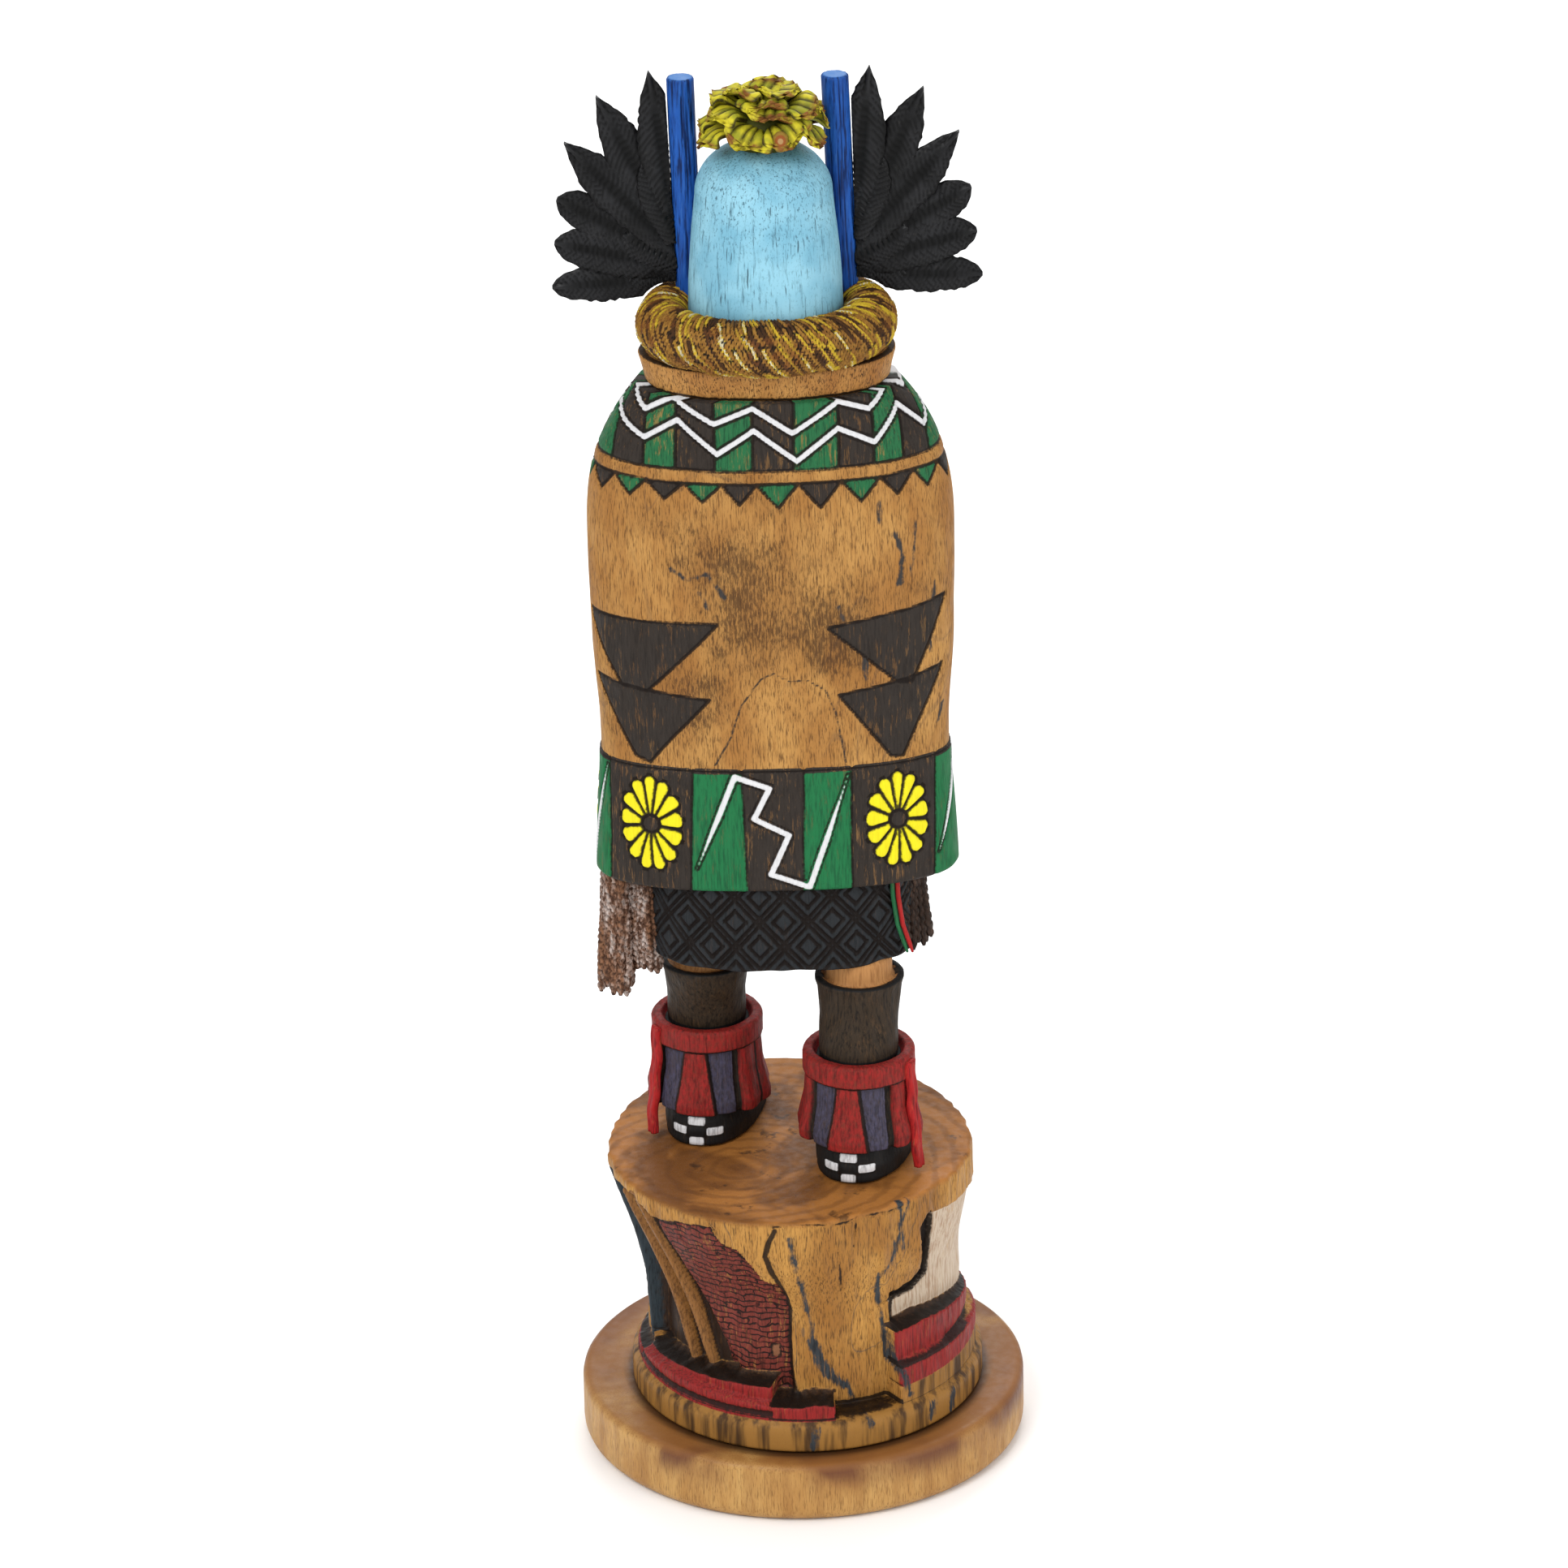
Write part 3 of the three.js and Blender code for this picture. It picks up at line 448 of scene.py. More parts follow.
UPPER_ZIGZAG = [(-39, 96.5), (-31.5, 99.8), (-24.3, 95.9), (-18.3, 99.0), (-10.2, 94.5), (-2.9, 97.7),
                (4.5, 92.6),
                (13.1, 98.2), (19.3, 96.0), (25.2, 100.2), (30.5, 97.5), (39, 99.5)]
LOWER_ZIGZAG = [(-41, 90.5), (-34.0, 95.2), (-23.9, 90.9), (-17.2, 95.0), (-9.7, 88.7), (-2.7, 93.4),
                (5.2, 87.1),
                (12.9, 93.1), (20.0, 89.6), (25.9, 95.6), (32.2, 90.5), (41, 95)]
COLUMN_EDGES = [-46, -38.5, -31, -24.0, -17.6, -10.2, -3.0, 4.6, 13.0, 19.8, 25.8, 32.0, 39, 46]
STRIPE_LOW, STRIPE_HIGH = 82.7, 85.3
TOOTH_EDGES = [-43.5, -36.6, -30.2, -23.4, -16.2, -9.0, -2.4, 5.4, 13.4, 20.8, 27.6, 33.8, 40.8]
TOOTH_TIPS = [4.2, 3.6, 3.4, 3.4, 3.6, 4.0, 4.8, 5.0, 4.4, 4.0, 3.8, 4.0]
BIG_TRIANGLES = [
    [(-38.5, 54.4), (-10.2, 54.8), (-24.2, 40.2), (-29.4, 40.8)],
    [(-36.2, 41.6), (-12.2, 39.2), (-24.0, 25.6), (-27.0, 26.6)],
    [(10.2, 53.6), (34.8, 57.0), (26.6, 40.8), (23.8, 41.2)],
    [(12.2, 39.6), (33.6, 43.0), (24.6, 25.8), (22.2, 26.0)],
]
SPALT_ARCH = [(-11.5, 25.4), (-8.4, 31), (-6.2, 38), (-2.6, 43.6), (-0.2, 44.9), (3.2, 43.0), (6.0, 43.4),
              (9.6, 41),
              (11.6, 36), (12.6, 30), (13.4, 25.6)]

# Each stain: its line, then its half width
SHAWL_STAINS = [
    ([(23.4, 71.3), (24.9, 66.6), (24.2, 61.4)], 0.45), ([(31.8, 60.2), (31.2, 53), (30.5, 46.3)], 0.28),
    ([(17.8, 52.7), (17.3, 48.5), (17.4, 42.8)], 0.42),
    ([(-18.7, 65.5), (-15.8, 63.7), (-11.9, 64.9), (-9, 60.2)], 0.4),
    ([(27.7, 73), (26.6, 62.5)], 0.16), ([(33.9, 34.6), (32.4, 31)], 0.3), ([(20.4, 78), (20.2, 74)], 0.25),
    ([(-13.5, 61), (-12, 58)], 0.3), ([(12.4, 58), (13.2, 55)], 0.25),
]
# Each cloud of darker wood: strength, middle round the shawl, its width, middle level, its height
SHAWL_CLOUDS = [(0.75, 3, 15, 54, 12), (0.55, -11, 12, 71, 9), (0.3, 16, 9, 50, 12), (0.5, -14, 7, 36, 14)]
ARCH_CLEARING = (0.9, 1, 11, 30, 13)
SHAWL_SEAM = 42.0


def fold_round(s, half):
    """Carries a pattern past the side seams: what lies beyond half comes back mirrored."""
    return np.where(np.abs(s) > half, np.sign(s) * (2 * half - np.abs(s)), s)


def blot(s, h, strength, middle_s, wide, middle_h, tall):
    return strength * np.exp(-(((s - middle_s) / wide) ** 2) - ((h - middle_h) / tall) ** 2)


def shawl_pattern(s, h):
    s = fold_round(s, SHAWL_SEAM)
    wave = rough(s, h, 0, 7, 3) * 0.12
    s, h = s + wave, h + rough(s, h, 0, 6, 5) * 0.12
    rise = 0.0006 * s * s
    edges = np.array(COLUMN_EDGES)
    column = np.searchsorted(edges, s)
    edge_gap = np.min(np.abs(s[..., None] - edges), -1)
    top, low = STRIPE_HIGH + rise - h, STRIPE_LOW + rise
    dark = np.maximum(top, np.where(column % 2 == 0, edge_gap, -edge_gap))
    green = np.maximum(top, np.where(column % 2 == 0, -edge_gap, edge_gap))
    zigzag = np.minimum(line_distance(s, h, UPPER_ZIGZAG)[0], line_distance(s, h, LOWER_ZIGZAG)[0])
    burn = np.where(top < 0, np.minimum(edge_gap, np.abs(zigzag - 0.72)), 9)
    for i, depth in enumerate(TOOTH_TIPS):
        a, b = TOOTH_EDGES[i], TOOTH_EDGES[i + 1]
        corners = [(a, STRIPE_LOW), (b, STRIPE_LOW), ((a + b) / 2, STRIPE_LOW - depth)]
        tooth = inside_distance(s, h - rise, corners)
        if i % 2:
            dark = np.minimum(dark, tooth)
        else:
            green = np.minimum(green, tooth)
        burn = np.minimum(burn, np.where(h < low, np.abs(tooth), 9))
    for corners in BIG_TRIANGLES:
        shape = inside_distance(s, h, corners)
        dark = np.minimum(dark, shape)
        burn = np.minimum(burn, np.abs(shape))
    burn = np.minimum.reduce([burn, np.abs(h - low), np.abs(top)])
    arch = np.where(h > 25.5, line_distance(s, h, SPALT_ARCH)[0], 9) + 0.12
    cloud = sum(blot(s, h, *place) for place in SHAWL_CLOUDS) - blot(s, h, *ARCH_CLEARING)
    cloud = np.clip(cloud + 0.35 * rough(s, h, 0, 9, 15) + 0.22 * rough(s, h, 0, 3.5, 16), 0, 1)
    stain = np.full(np.shape(s), 9.0)
    for points, half in SHAWL_STAINS:
        reach = half * (1 + 0.5 * rough(h, 0, 0, 1.5, half))
        stain = np.minimum(stain, line_distance(s, h, points)[0] - reach)
    stain += 0.35 * rough(s / 0.25, h / 2, 0, 1, 17)
    return {"green": green, "dark": dark, "white": zigzag - 0.46, "burn": burn, "arch": arch,
            "cloud": cloud, "stain": stain}


STEPPED_LINE = [(-14.9, 4.9), (-7.4, 23.6), (-0.9, 21.2), (-3.9, 15.3), (2.7, 11.7), (-0.9, 3.8), (6.4, 0.9),
                (14.1, 23.3)]
BAND_REPEAT = 47.6
PETALS, PETAL_REACH_S, PETAL_REACH_H, EYE_REACH = 13, 6.3, 9.5, 2.0


def petal_room(angle, tip_x, tip_y):
    """How much of the flower's outline one petal can take up across its own direction."""
    run_x, run_y = -PETAL_REACH_S * math.sin(angle), PETAL_REACH_H * math.cos(angle)
    off = math.atan2(run_y, run_x) - math.atan2(tip_y, tip_x) - math.pi / 2
    return 2 * math.pi / PETALS * math.hypot(run_x, run_y) * abs(math.cos(off))


def sunflower(x, y):
    """Distance to the petals and to the dark eye of one painted sunflower."""
    petals = np.full(np.shape(x), 9.0)
    for k in range(PETALS):
        angle = 2 * math.pi / PETALS * (k + 0.3)
        tip_x, tip_y = PETAL_REACH_S * math.cos(angle), PETAL_REACH_H * math.sin(angle)
        length = math.hypot(tip_x, tip_y)
        room = petal_room(angle, tip_x, tip_y)
        ux, uy = tip_x / length, tip_y / length
        along, across = x * ux + y * uy, -x * uy + y * ux
        blunt = np.sqrt(np.clip(1 - (np.maximum(along - length + 1.5, 0) / 1.5) ** 2, 0, 1))
        half = np.maximum(0.48 * room * np.minimum(along / length, 0.92) - 0.12, 0.05) * blunt
        gap = np.maximum(np.abs(across) - half, np.maximum(EYE_REACH - along, along - length))
        petals = np.minimum(petals, gap)
    return petals, np.hypot(x / 1.25, y / 1.75) * 1.5 - 1.5


def band_pattern(s, h):
    s = s + rough(s, h, 0, 6, 11) * 0.15
    h = h + rough(s, h, 0, 5, 12) * 0.12
    local = (s + 0.4 + BAND_REPEAT / 2) % BAND_REPEAT - BAND_REPEAT / 2
    lean = (h - 12.5) * 0.03
    first = np.maximum(-15.8 + lean - local, local + 5.7 + lean)
    second = np.maximum(5.4 + lean * 0.6 - local, local - 14.7 - lean * 0.3)
    green = np.minimum(first, second)
    inner = np.maximum(0.0 - h, h - BAND_HEIGHT + 1.0)
    white, along = line_distance(local, h, STEPPED_LINE)
    total = sum(math.dist(a, b) for a, b in zip(STEPPED_LINE[:-1], STEPPED_LINE[1:]))
    half = 0.52 * ease(along, -2, 14) * ease(total - along, -2, 16)
    flower_s = np.where(local > 0, local - BAND_REPEAT / 2, local + BAND_REPEAT / 2)
    petals, eye = sunflower(flower_s, h - 13.4)
    burn = np.minimum(np.abs(first), np.abs(second))
    burn = np.minimum(burn, np.abs(white - half - 0.3))
    burn = np.where(white < half, 9, burn)
    burn = np.minimum(burn, np.maximum(petals - 0.35, 0.05 - petals))
    burn = np.minimum(burn, np.abs(h - BAND_HEIGHT + 0.5))
    return {"green": np.maximum(green, inner), "white": white - half, "yellow": petals, "eye": eye,
            "burn": burn}


def shawl_material():
    material, tree = new_material("shawl_natural_wood")
    wood = {"Strokes": 0.8, "Spalt": 0.25, "Light": colour(198, 148, 82), "Middle": colour(168, 116, 58)}
    under = use(tree, ROOT_WOOD, wood)
    base = blend(tree, times(tree, field(tree, "cloud"), 0.5), under["Color"], colour(116, 76, 38))
    stroke = grain(tree, 0.2, 3000, 4.0, 0.7)
    dense = maths(tree, "ADD", stroke, times(tree, field(tree, "cloud"), 0.3))
    base = blend(tree, span(tree, dense, 0.6, 0.78, 0.0, 0.7), base, colour(58, 38, 24))
    for key, paint, shade, options in (
        ("stain", colour(62, 58, 56), colour(34, 32, 32),
         {"Streaks": 0.7, "Wear": 0.5, "Edge": 0.3, "Jitter": 1.1}),
        ("dark", CHARCOAL, CHARCOAL_SHADE, {"Streaks": 0.55, "Wear": 0.28}),
        ("green", GREEN, GREEN_SHADE, {"Streaks": 0.75, "Wear": 0.5}),
    ):
        base = coat(tree, base, key, paint, shade, **options)["Color"]
    base = burnt(tree, base, "burn", 0.34)
    base = burnt(tree, base, "arch", 0.3, Burn=colour(44, 40, 38))
    base = coat(tree, base, "white", WHITE, WHITE_SHADE, Jitter=0.2, Streaks=0.2, Wear=0.1)["Color"]
    finish_material(tree, base, under["Height"], strength=0.45)
    return material


def band_material():
    return layered_material(
        "shawl_hem_band", {"Strokes": 0.6, "Spalt": 0.2},
        [(None, CHARCOAL, CHARCOAL_SHADE, {"Streaks": 0.5, "Wear": 0.35}),
         ("green", colour(32, 116, 68), colour(16, 66, 42), {"Streaks": 0.6, "Wear": 0.3}),
         ("yellow", YELLOW, YELLOW_SHADE, {"Streaks": 0.25, "Wear": 0.05, "Jitter": 0.15}),
         ("white", WHITE, WHITE_SHADE, {"Streaks": 0.2, "Wear": 0.12, "Jitter": 0.2})],
        burn=0.24, strength=0.4)


SHAWL_BACK, SHAWL_FRONT = 270, 160


def make_shawl_upper():
    angle = round_angles(SHAWL_BACK, SHAWL_FRONT)
    level = np.linspace(SHAWL_HEM + BAND_HEIGHT - 0.6, SHAWL_TOP, 132)[:, None]
    base = shawl_surface(angle, level, 0)
    s = arc_length(base, SHAWL_BACK // 2)
    h = level - SHAWL_HEM + 0 * s
    fields = shawl_pattern(s, h)
    cut = -0.38 * (1 - ease(fields["burn"], 0.1, 0.5)) + 0.12 * (1 - ease(fields["white"], -0.3, 0.1))
    hand = 0.14 * rough(base[..., 0], base[..., 1], base[..., 2], 9, 2) + 0.035 * rough(s, h * 0.2, 0, 0.8, 4)
    points = raised(base, cut + hand)
    grid_object("shawl_upper", points, shawl_material(), fields, ends=(False, True))


def make_shawl_hem():
    angle = round_angles(SHAWL_BACK, SHAWL_FRONT)
    turn = np.array([(-0.4, -9.0), (-0.25, -3.0), (0.0, -1.2), (0.25, -0.4), (0.8, 0.0)])
    rows = 92
    level = np.r_[turn[:, 0], np.linspace(1.1, BAND_HEIGHT - 0.25, rows), BAND_HEIGHT + 0.1][:, None]
    level = np.maximum(level + SHAWL_HEM, SHAWL_HEM)
    grow = np.r_[turn[:, 1], np.zeros(rows), -0.55][:, None] + 0.4
    base = shawl_surface(angle, level, grow)
    s = arc_length(base, SHAWL_BACK // 2)
    h = level - SHAWL_HEM + 0 * s
    fields = band_pattern(s, h)
    inside = 1 - ease(fields["white"], -0.3, 0.15)
    petal = 1 - ease(fields["yellow"], -0.3, 0.1)
    cut = -0.34 * (1 - ease(fields["burn"], 0.1, 0.45)) + 0.1 * inside + 0.12 * petal
    hand = 0.12 * rough(base[..., 0], base[..., 1], base[..., 2], 9, 2)
    edge = np.where(h < 1, 0.1 * rough(s, 0, 0, 1.6, 9), 0)
    points = raised(base, (cut + hand) * ease(h, 0, 0.8))
    points[..., 2] += edge * 0.5 * ease(h, -0.01, 0.05)
    grid_object("shawl_hem", points, band_material(), fields)


# Head, collar and ruff


def mix_value(tree, factor, low, high):
    return maths(tree, "ADD", times(tree, factor, high - low), low)


def head_material():
    paint, tree = new_material("mask_blue_paint")
    streak = grain(tree, 0.07, 1500, 4.0, 0.7)
    speck = grain(tree, 0.5, 2600, 3.0, 0.7)
    cloud = grain(tree, 1, 120, 2.0)
    base = blend(tree, span(tree, cloud, 0.35, 0.7), colour(152, 208, 228), colour(126, 186, 210))
    base = blend(tree, span(tree, streak, 0.52, 0.72, 0, 0.8), base, colour(72, 108, 122))
    crack = grain(tree, 0.035, 2300, 2.0, 0.6)
    base = blend(tree, span(tree, crack, 0.63, 0.7, 0, 0.8), base, colour(54, 78, 88))
    rise = field(tree, "rise")
    spread = mix_value(tree, span(tree, rise, 0.45, 0.8), 0.3, 0.85)
    base = blend(tree, times(tree, span(tree, speck, 0.55, 0.66), spread), base, colour(64, 100, 114))
    # Painted shadow: the mask turns darker blue towards its foot, where the ruff meets it.
    base = blend(tree, span(tree, rise, 0.3, 0.12, 0.0, 0.75), base, colour(40, 62, 72))
    base = coat(tree, base, "dark", BLACK, BLACK_SHADE, Wear=0.1)["Color"]
    base = coat(tree, base, "white", WHITE, WHITE_SHADE, Wear=0.1)["Color"]
    finish_material(tree, base, maths(tree, "SUBTRACT", 1.0, streak), strength=0.4, low=0.45, high=0.62)
    return paint


BEAK = [(-6.4, 27.5), (6.4, 27.5), (0, 11.5)]


def make_head():
    low = RUFF_LEVEL - RUFF_TUBE
    dome = [math.radians(degrees) for degrees in range(0, 90, 4)]
    shoulder = HEAD_TOP - HEAD_SHOULDER
    profile = [(low, 1.0), (mix(low, shoulder, 0.45), 0.975), (mix(low, shoulder, 0.78), 0.925)]
    profile += [(shoulder + HEAD_SHOULDER * math.sin(a),
                 HEAD_TAPER * (1 - (1 - math.cos(a)) * 0.82)) for a in dome]
    profile += [(HEAD_TOP, 0.09)]
    level, share = along_profile([(z, HEAD_RADIUS * s) for z, s in profile], 80)
    share = share / HEAD_RADIUS
    x, y = loop(round_angles(140, 70), HEAD_RADIUS * share, HEAD_DEPTH * share, power=2.1)
    base = np.stack([FIGURE_X + x, y, up(level) + 0 * x], -1)
    beak = np.where(y > 0, inside_distance(x, level - low + 0 * x, BEAK), 9)
    hand = 0.1 * rough(x, y, level, 7, 6) + 0.03 * rough(x, y, level * 0.1, 0.9, 8)
    rise = (level - low) / (HEAD_TOP - low) + 0 * x
    fields = {"rise": rise, "dark": beak, "white": np.maximum(beak - 1.1, -beak)}
    grid_object("mask_head", raised(base, hand), head_material(), fields)


def make_collar():
    wood = layered_material("collar_red_wood", {
        "Light": colour(198, 146, 80), "Middle": colour(164, 110, 54), "Dark": colour(70, 42, 22),
        "Strokes": 1.0, "Spalt": 0.0,
    }, burn=0.35, strength=0.6)
    angle = round_angles(220, 60)
    profile = [(SHAWL_TOP - 2, -3), (SHAWL_TOP + 0.2, -0.5), (SHAWL_TOP + 0.8, 0), (COLLAR_TOP - 0.5, 1.2),
               (COLLAR_TOP, 0.9), (COLLAR_TOP, -4)]
    level, grow = along_profile(profile, 30)
    x, y = loop(angle, 22.7 + grow, 13.6 + grow, power=2.2)
    base = np.stack([FIGURE_X + x, y, up(level) + 0 * x], -1)
    s = arc_length(base, 110)
    hand = 0.13 * rough(s, level * 0.25, 0, 0.8, 3) + 0.15 * rough(x, y, level, 6, 1)
    top_edge = np.maximum(COLLAR_TOP - 0.1 - level, -grow) + 0.2
    burn = np.minimum(np.abs(level - SHAWL_TOP - 0.4), top_edge) + 0 * s
    grid_object("collar", raised(base, hand), wood, {"burn": burn})


def ruff_material():
    gold, tree = new_material("ruff_gold_tufts")
    depth = field(tree, "depth")
    strand = field(tree, "strand")
    fine = grain(tree, 0.5, 1800, 3.0, 0.7)
    base = blend(tree, span(tree, fine, 0.35, 0.7), colour(170, 124, 52), colour(124, 82, 36))
    base = blend(tree, span(tree, strand, 0.34, 0.22), base, colour(72, 46, 24))
    base = blend(tree, span(tree, strand, 0.66, 0.8), base, colour(208, 174, 48))
    dab = times(tree, span(tree, strand, 0.9, 0.93), span(tree, fine, 0.42, 0.52))
    base = blend(tree, dab, base, colour(226, 218, 184))
    rust = grain(tree, 1, 260, 3.0, 0.6)
    base = blend(tree, span(tree, rust, 0.52, 0.66, 0.0, 0.6), base, colour(128, 76, 34))
    base = blend(tree, span(tree, fine, 0.58, 0.72, 0.0, 0.7), base, colour(52, 34, 18))
    # Painted shade: the low places between the strands turn near black.
    base = blend(tree, span(tree, depth, 0.6, 0.25), base, colour(30, 20, 10))
    finish_material(tree, base, fine, strength=0.4)
    return gold


RUFF_AROUND, RUFF_SIDES, RUFF_STRANDS = 860, 48, 168


def ruff_strands(angle, turn):
    """The slanted strands: how high each place stands on its strand, and a chance for each tuft."""
    lean = 8.5 * np.sin(turn / 2 + 0.3)
    across = angle / (2 * np.pi) * RUFF_STRANDS + lean + 0.45 * rough(angle * 9, turn * 2.2, 0, 1, 20)
    number = np.floor(across)
    along = turn * RUFF_TUBE / 4.6 + 5 * hashed(number % RUFF_STRANDS, 3, 1)
    tuft = np.floor(along)
    within = along - tuft
    crest = 1 - (2 * (across - number) - 1) ** 2
    taper = ease(within, 0, 0.12) * ease(1 - within, 0, 0.12)
    depth = np.clip(crest * (0.35 + 0.65 * taper), 0, 1)
    return depth, hashed(number % RUFF_STRANDS, tuft, 2) + 0 * turn


def make_ruff():
    angle = np.linspace(-np.pi, np.pi, RUFF_AROUND, False)[:, None]
    turn = np.linspace(-np.pi, np.pi, RUFF_SIDES, False)[None, :]
    depth, strand = ruff_strands(angle, turn)
    swell = 0.7 * rough(angle * 17 / 3.2, turn * RUFF_TUBE / 7, 0, 1, 22)
    tube = RUFF_TUBE - 0.65 + 0.62 * np.sqrt(depth) + 0.35 * swell + 0.25 * strand * depth
    out = tube * np.cos(turn)
    points = np.stack([
        FIGURE_X + (RUFF_HALF_WIDTH + out) * np.cos(angle), (RUFF_HALF_DEPTH + out) * np.sin(angle),
        up(RUFF_LEVEL) + tube * np.sin(turn) + 0 * angle,
    ], -1)
    points, depth, strand = (np.concatenate([part, part[:1]]) for part in (points, depth, strand))
    fields = {"depth": depth, "strand": strand}
    weld(grid_object("neck_ruff", points, ruff_material(), fields, ends=(False, False)))


# Disc and stump


def disc_material():
    material, tree = new_material("turned_disc_wood")
    under = use(tree, ROOT_WOOD, {"Light": colour(212, 166, 98), "Middle": colour(186, 136, 74),
                                  "Dark": colour(112, 74, 38), "Strokes": 0.6, "Spalt": 0.0})
    reach = out_from(tree, (1, 1, 0.0), (0.03, 0.05, 0))
    warp = grain(tree, 0.2, 45, 3.0)
    phase = maths(tree, "ADD", times(tree, reach, 900.0), times(tree, warp, 5.0))
    ring = span(tree, maths(tree, "SINE", phase), 0.3, 1.0, 0.0, 0.3)
    base = blend(tree, ring, under["Color"], colour(150, 100, 50))
    patch = grain(tree, 0.6, 32, 3.0, 0.55, 0.5)
    rim = times(tree, span(tree, patch, 0.4, 0.53), field(tree, "rim"))
    base = blend(tree, rim, base, colour(104, 58, 38))
    cloud = grain(tree, 1, 55, 3.0, 0.6)
    tint = times(tree, field(tree, "top"), span(tree, cloud, 0.35, 0.6, 0.35, 0.9))
    base = blend(tree, tint, base, colour(150, 98, 48))
    base = blend(tree, field(tree, "shadow"), base, colour(60, 36, 20))
    finish_material(tree, base, under["Height"], strength=0.2, low=0.4, high=0.55, specular=0.22)
    return material


def rounded_edge(radius, z, size, start, end):
    return [(radius + size * math.cos(t), z + size
             * math.sin(t)) for t in np.radians(np.linspace(start, end, 9))]


DISC_FOOT_ROUND, DISC_TOP_ROUND = 2.8, 1.4


def make_disc():
    foot = rounded_edge(DISC_RADIUS - DISC_FOOT_ROUND, DISC_FOOT_ROUND, DISC_FOOT_ROUND, -90, 0)
    edge = rounded_edge(DISC_RADIUS - DISC_TOP_ROUND, DISC_HEIGHT - DISC_TOP_ROUND, DISC_TOP_ROUND, 0, 90)
    radius, z = along_profile([(1, 0), *foot, *edge, (1, DISC_HEIGHT)], 100)
    angle = round_angles(130, 60)
    x, y = radius * np.cos(angle), radius * np.sin(angle)
    dent = 0.05 * rough(x, y, z, 9, 1) * ease(radius, 4, 20)
    base = raised(np.stack([x, y, z + 0 * x], -1), dent - 0.06)
    base[..., 2] = np.maximum(base[..., 2], 0)
    top = ease(z, DISC_HEIGHT - 1.2, DISC_HEIGHT - 0.1) + 0 * x
    from_stump = (np.hypot((x - LIP_X) / LIP_HALF_WIDTH, (y - LIP_Y) / LIP_HALF_DEPTH) - 1) * LIP_HALF_WIDTH
    near_rim = 0.9 * ease(z, 5, 11) * ease(radius, 34, 41) + 0 * x
    fields = {"top": top, "rim": near_rim, "shadow": top * (1 - ease(from_stump, 0.1, 1.9)) * 0.85}
    grid_object("turned_disc", base, disc_material(), fields, node="base_disc")


ARC = 32.0 * math.pi / 180
STUMP_HEIGHT = STUMP_TOP - STUMP_BASE
MASONRY = [(-139.2, 0.897), (-127.2, 0.932), (-115.8, 0.95), (-113.8, 0.885), (-108, 0.863), (-104.4, 0.8),
           (-102.6, 0.73), (-98, 0.698), (-95.6, 0.638), (-96.4, 0.512), (-96.4, 0.348), (-95.4, 0.19),
           (-118, 0.19), (-124, 0.355), (-131, 0.478), (-136.8, 0.61)]
SHADE = [(-190, 0.9), (-178, 0.93), (-150, 0.95), (-138, 0.9), (-133.2, 0.61), (-127.4, 0.478),
         (-120.4, 0.355), (-114, 0.22), (-130, 0.2), (-180, 0.22), (-192, 0.4), (-192, 0.7)]
CORNER = [(-39.4, 0.893), (-43.8, 0.843), (-43, 0.64), (-48.4, 0.598), (-58, 0.585), (-57.6, 0.545),
          (-46.2, 0.55), (-37, 0.59), (-38, 0.86)]
PLASTER = [(-41, 0.89), (-26.2, 0.86), (4, 0.84), (20, 0.7), (20, 0.3), (-57.2, 0.3), (-58.8, 0.468),
           (-58.4, 0.56), (-48, 0.565), (-40.4, 0.61)]
NOTCH = [(-94.8, 0.965), (-97.2, 0.912), (-98.8, 0.848), (-98, 0.763), (-95.6, 0.657), (-95.2, 0.583),
         (-96.6, 0.463),
         (-96.2, 0.315), (-94.8, 0.208)]
SLAB_EDGE = [(-55.6, 0.57), (-57.2, 0.482), (-57.2, 0.367), (-56.4, 0.265), (-54, 0.19)]
SLAB_FOOT = [(-93.8, 0.2), (-86, 0.15), (-79.2, 0.14), (-65.2, 0.14), (-54, 0.15)]
WINDOW = [(-103.6, 0.393), (-100.2, 0.4), (-100, 0.345), (-103.4, 0.338)]
# Each step: places as angle, carved foot and tread, then how far inside the lip, then where its paint starts
STEPS = [
    ([(-200, 0.06, 0.13), (-167, 0.09, 0.182), (-150, 0.09, 0.212), (-135, 0.09, 0.217), (-107, 0.09, 0.196),
      (-94, 0.09, 0.193), (-88, 0.09, 0.207), (-80.8, 0.09, 0.194)], 1.4, 0.128),
    ([(-168, 0.1, 0.2), (-141, 0.12, 0.242), (-122, 0.12, 0.255), (-103, 0.12, 0.263)], 3.2, 0.15),
    ([(-57.4, 0.09, 0.311), (-45, 0.09, 0.323), (-24, 0.09, 0.307), (10, 0.08, 0.26), (40, 0.06, 0.17)], 1.4,
     0.213),
    ([(-57.2, 0.2, 0.45), (-43.4, 0.2, 0.458), (-20.2, 0.2, 0.42), (22, 0.12, 0.32)], 3.2, 0.3),
]
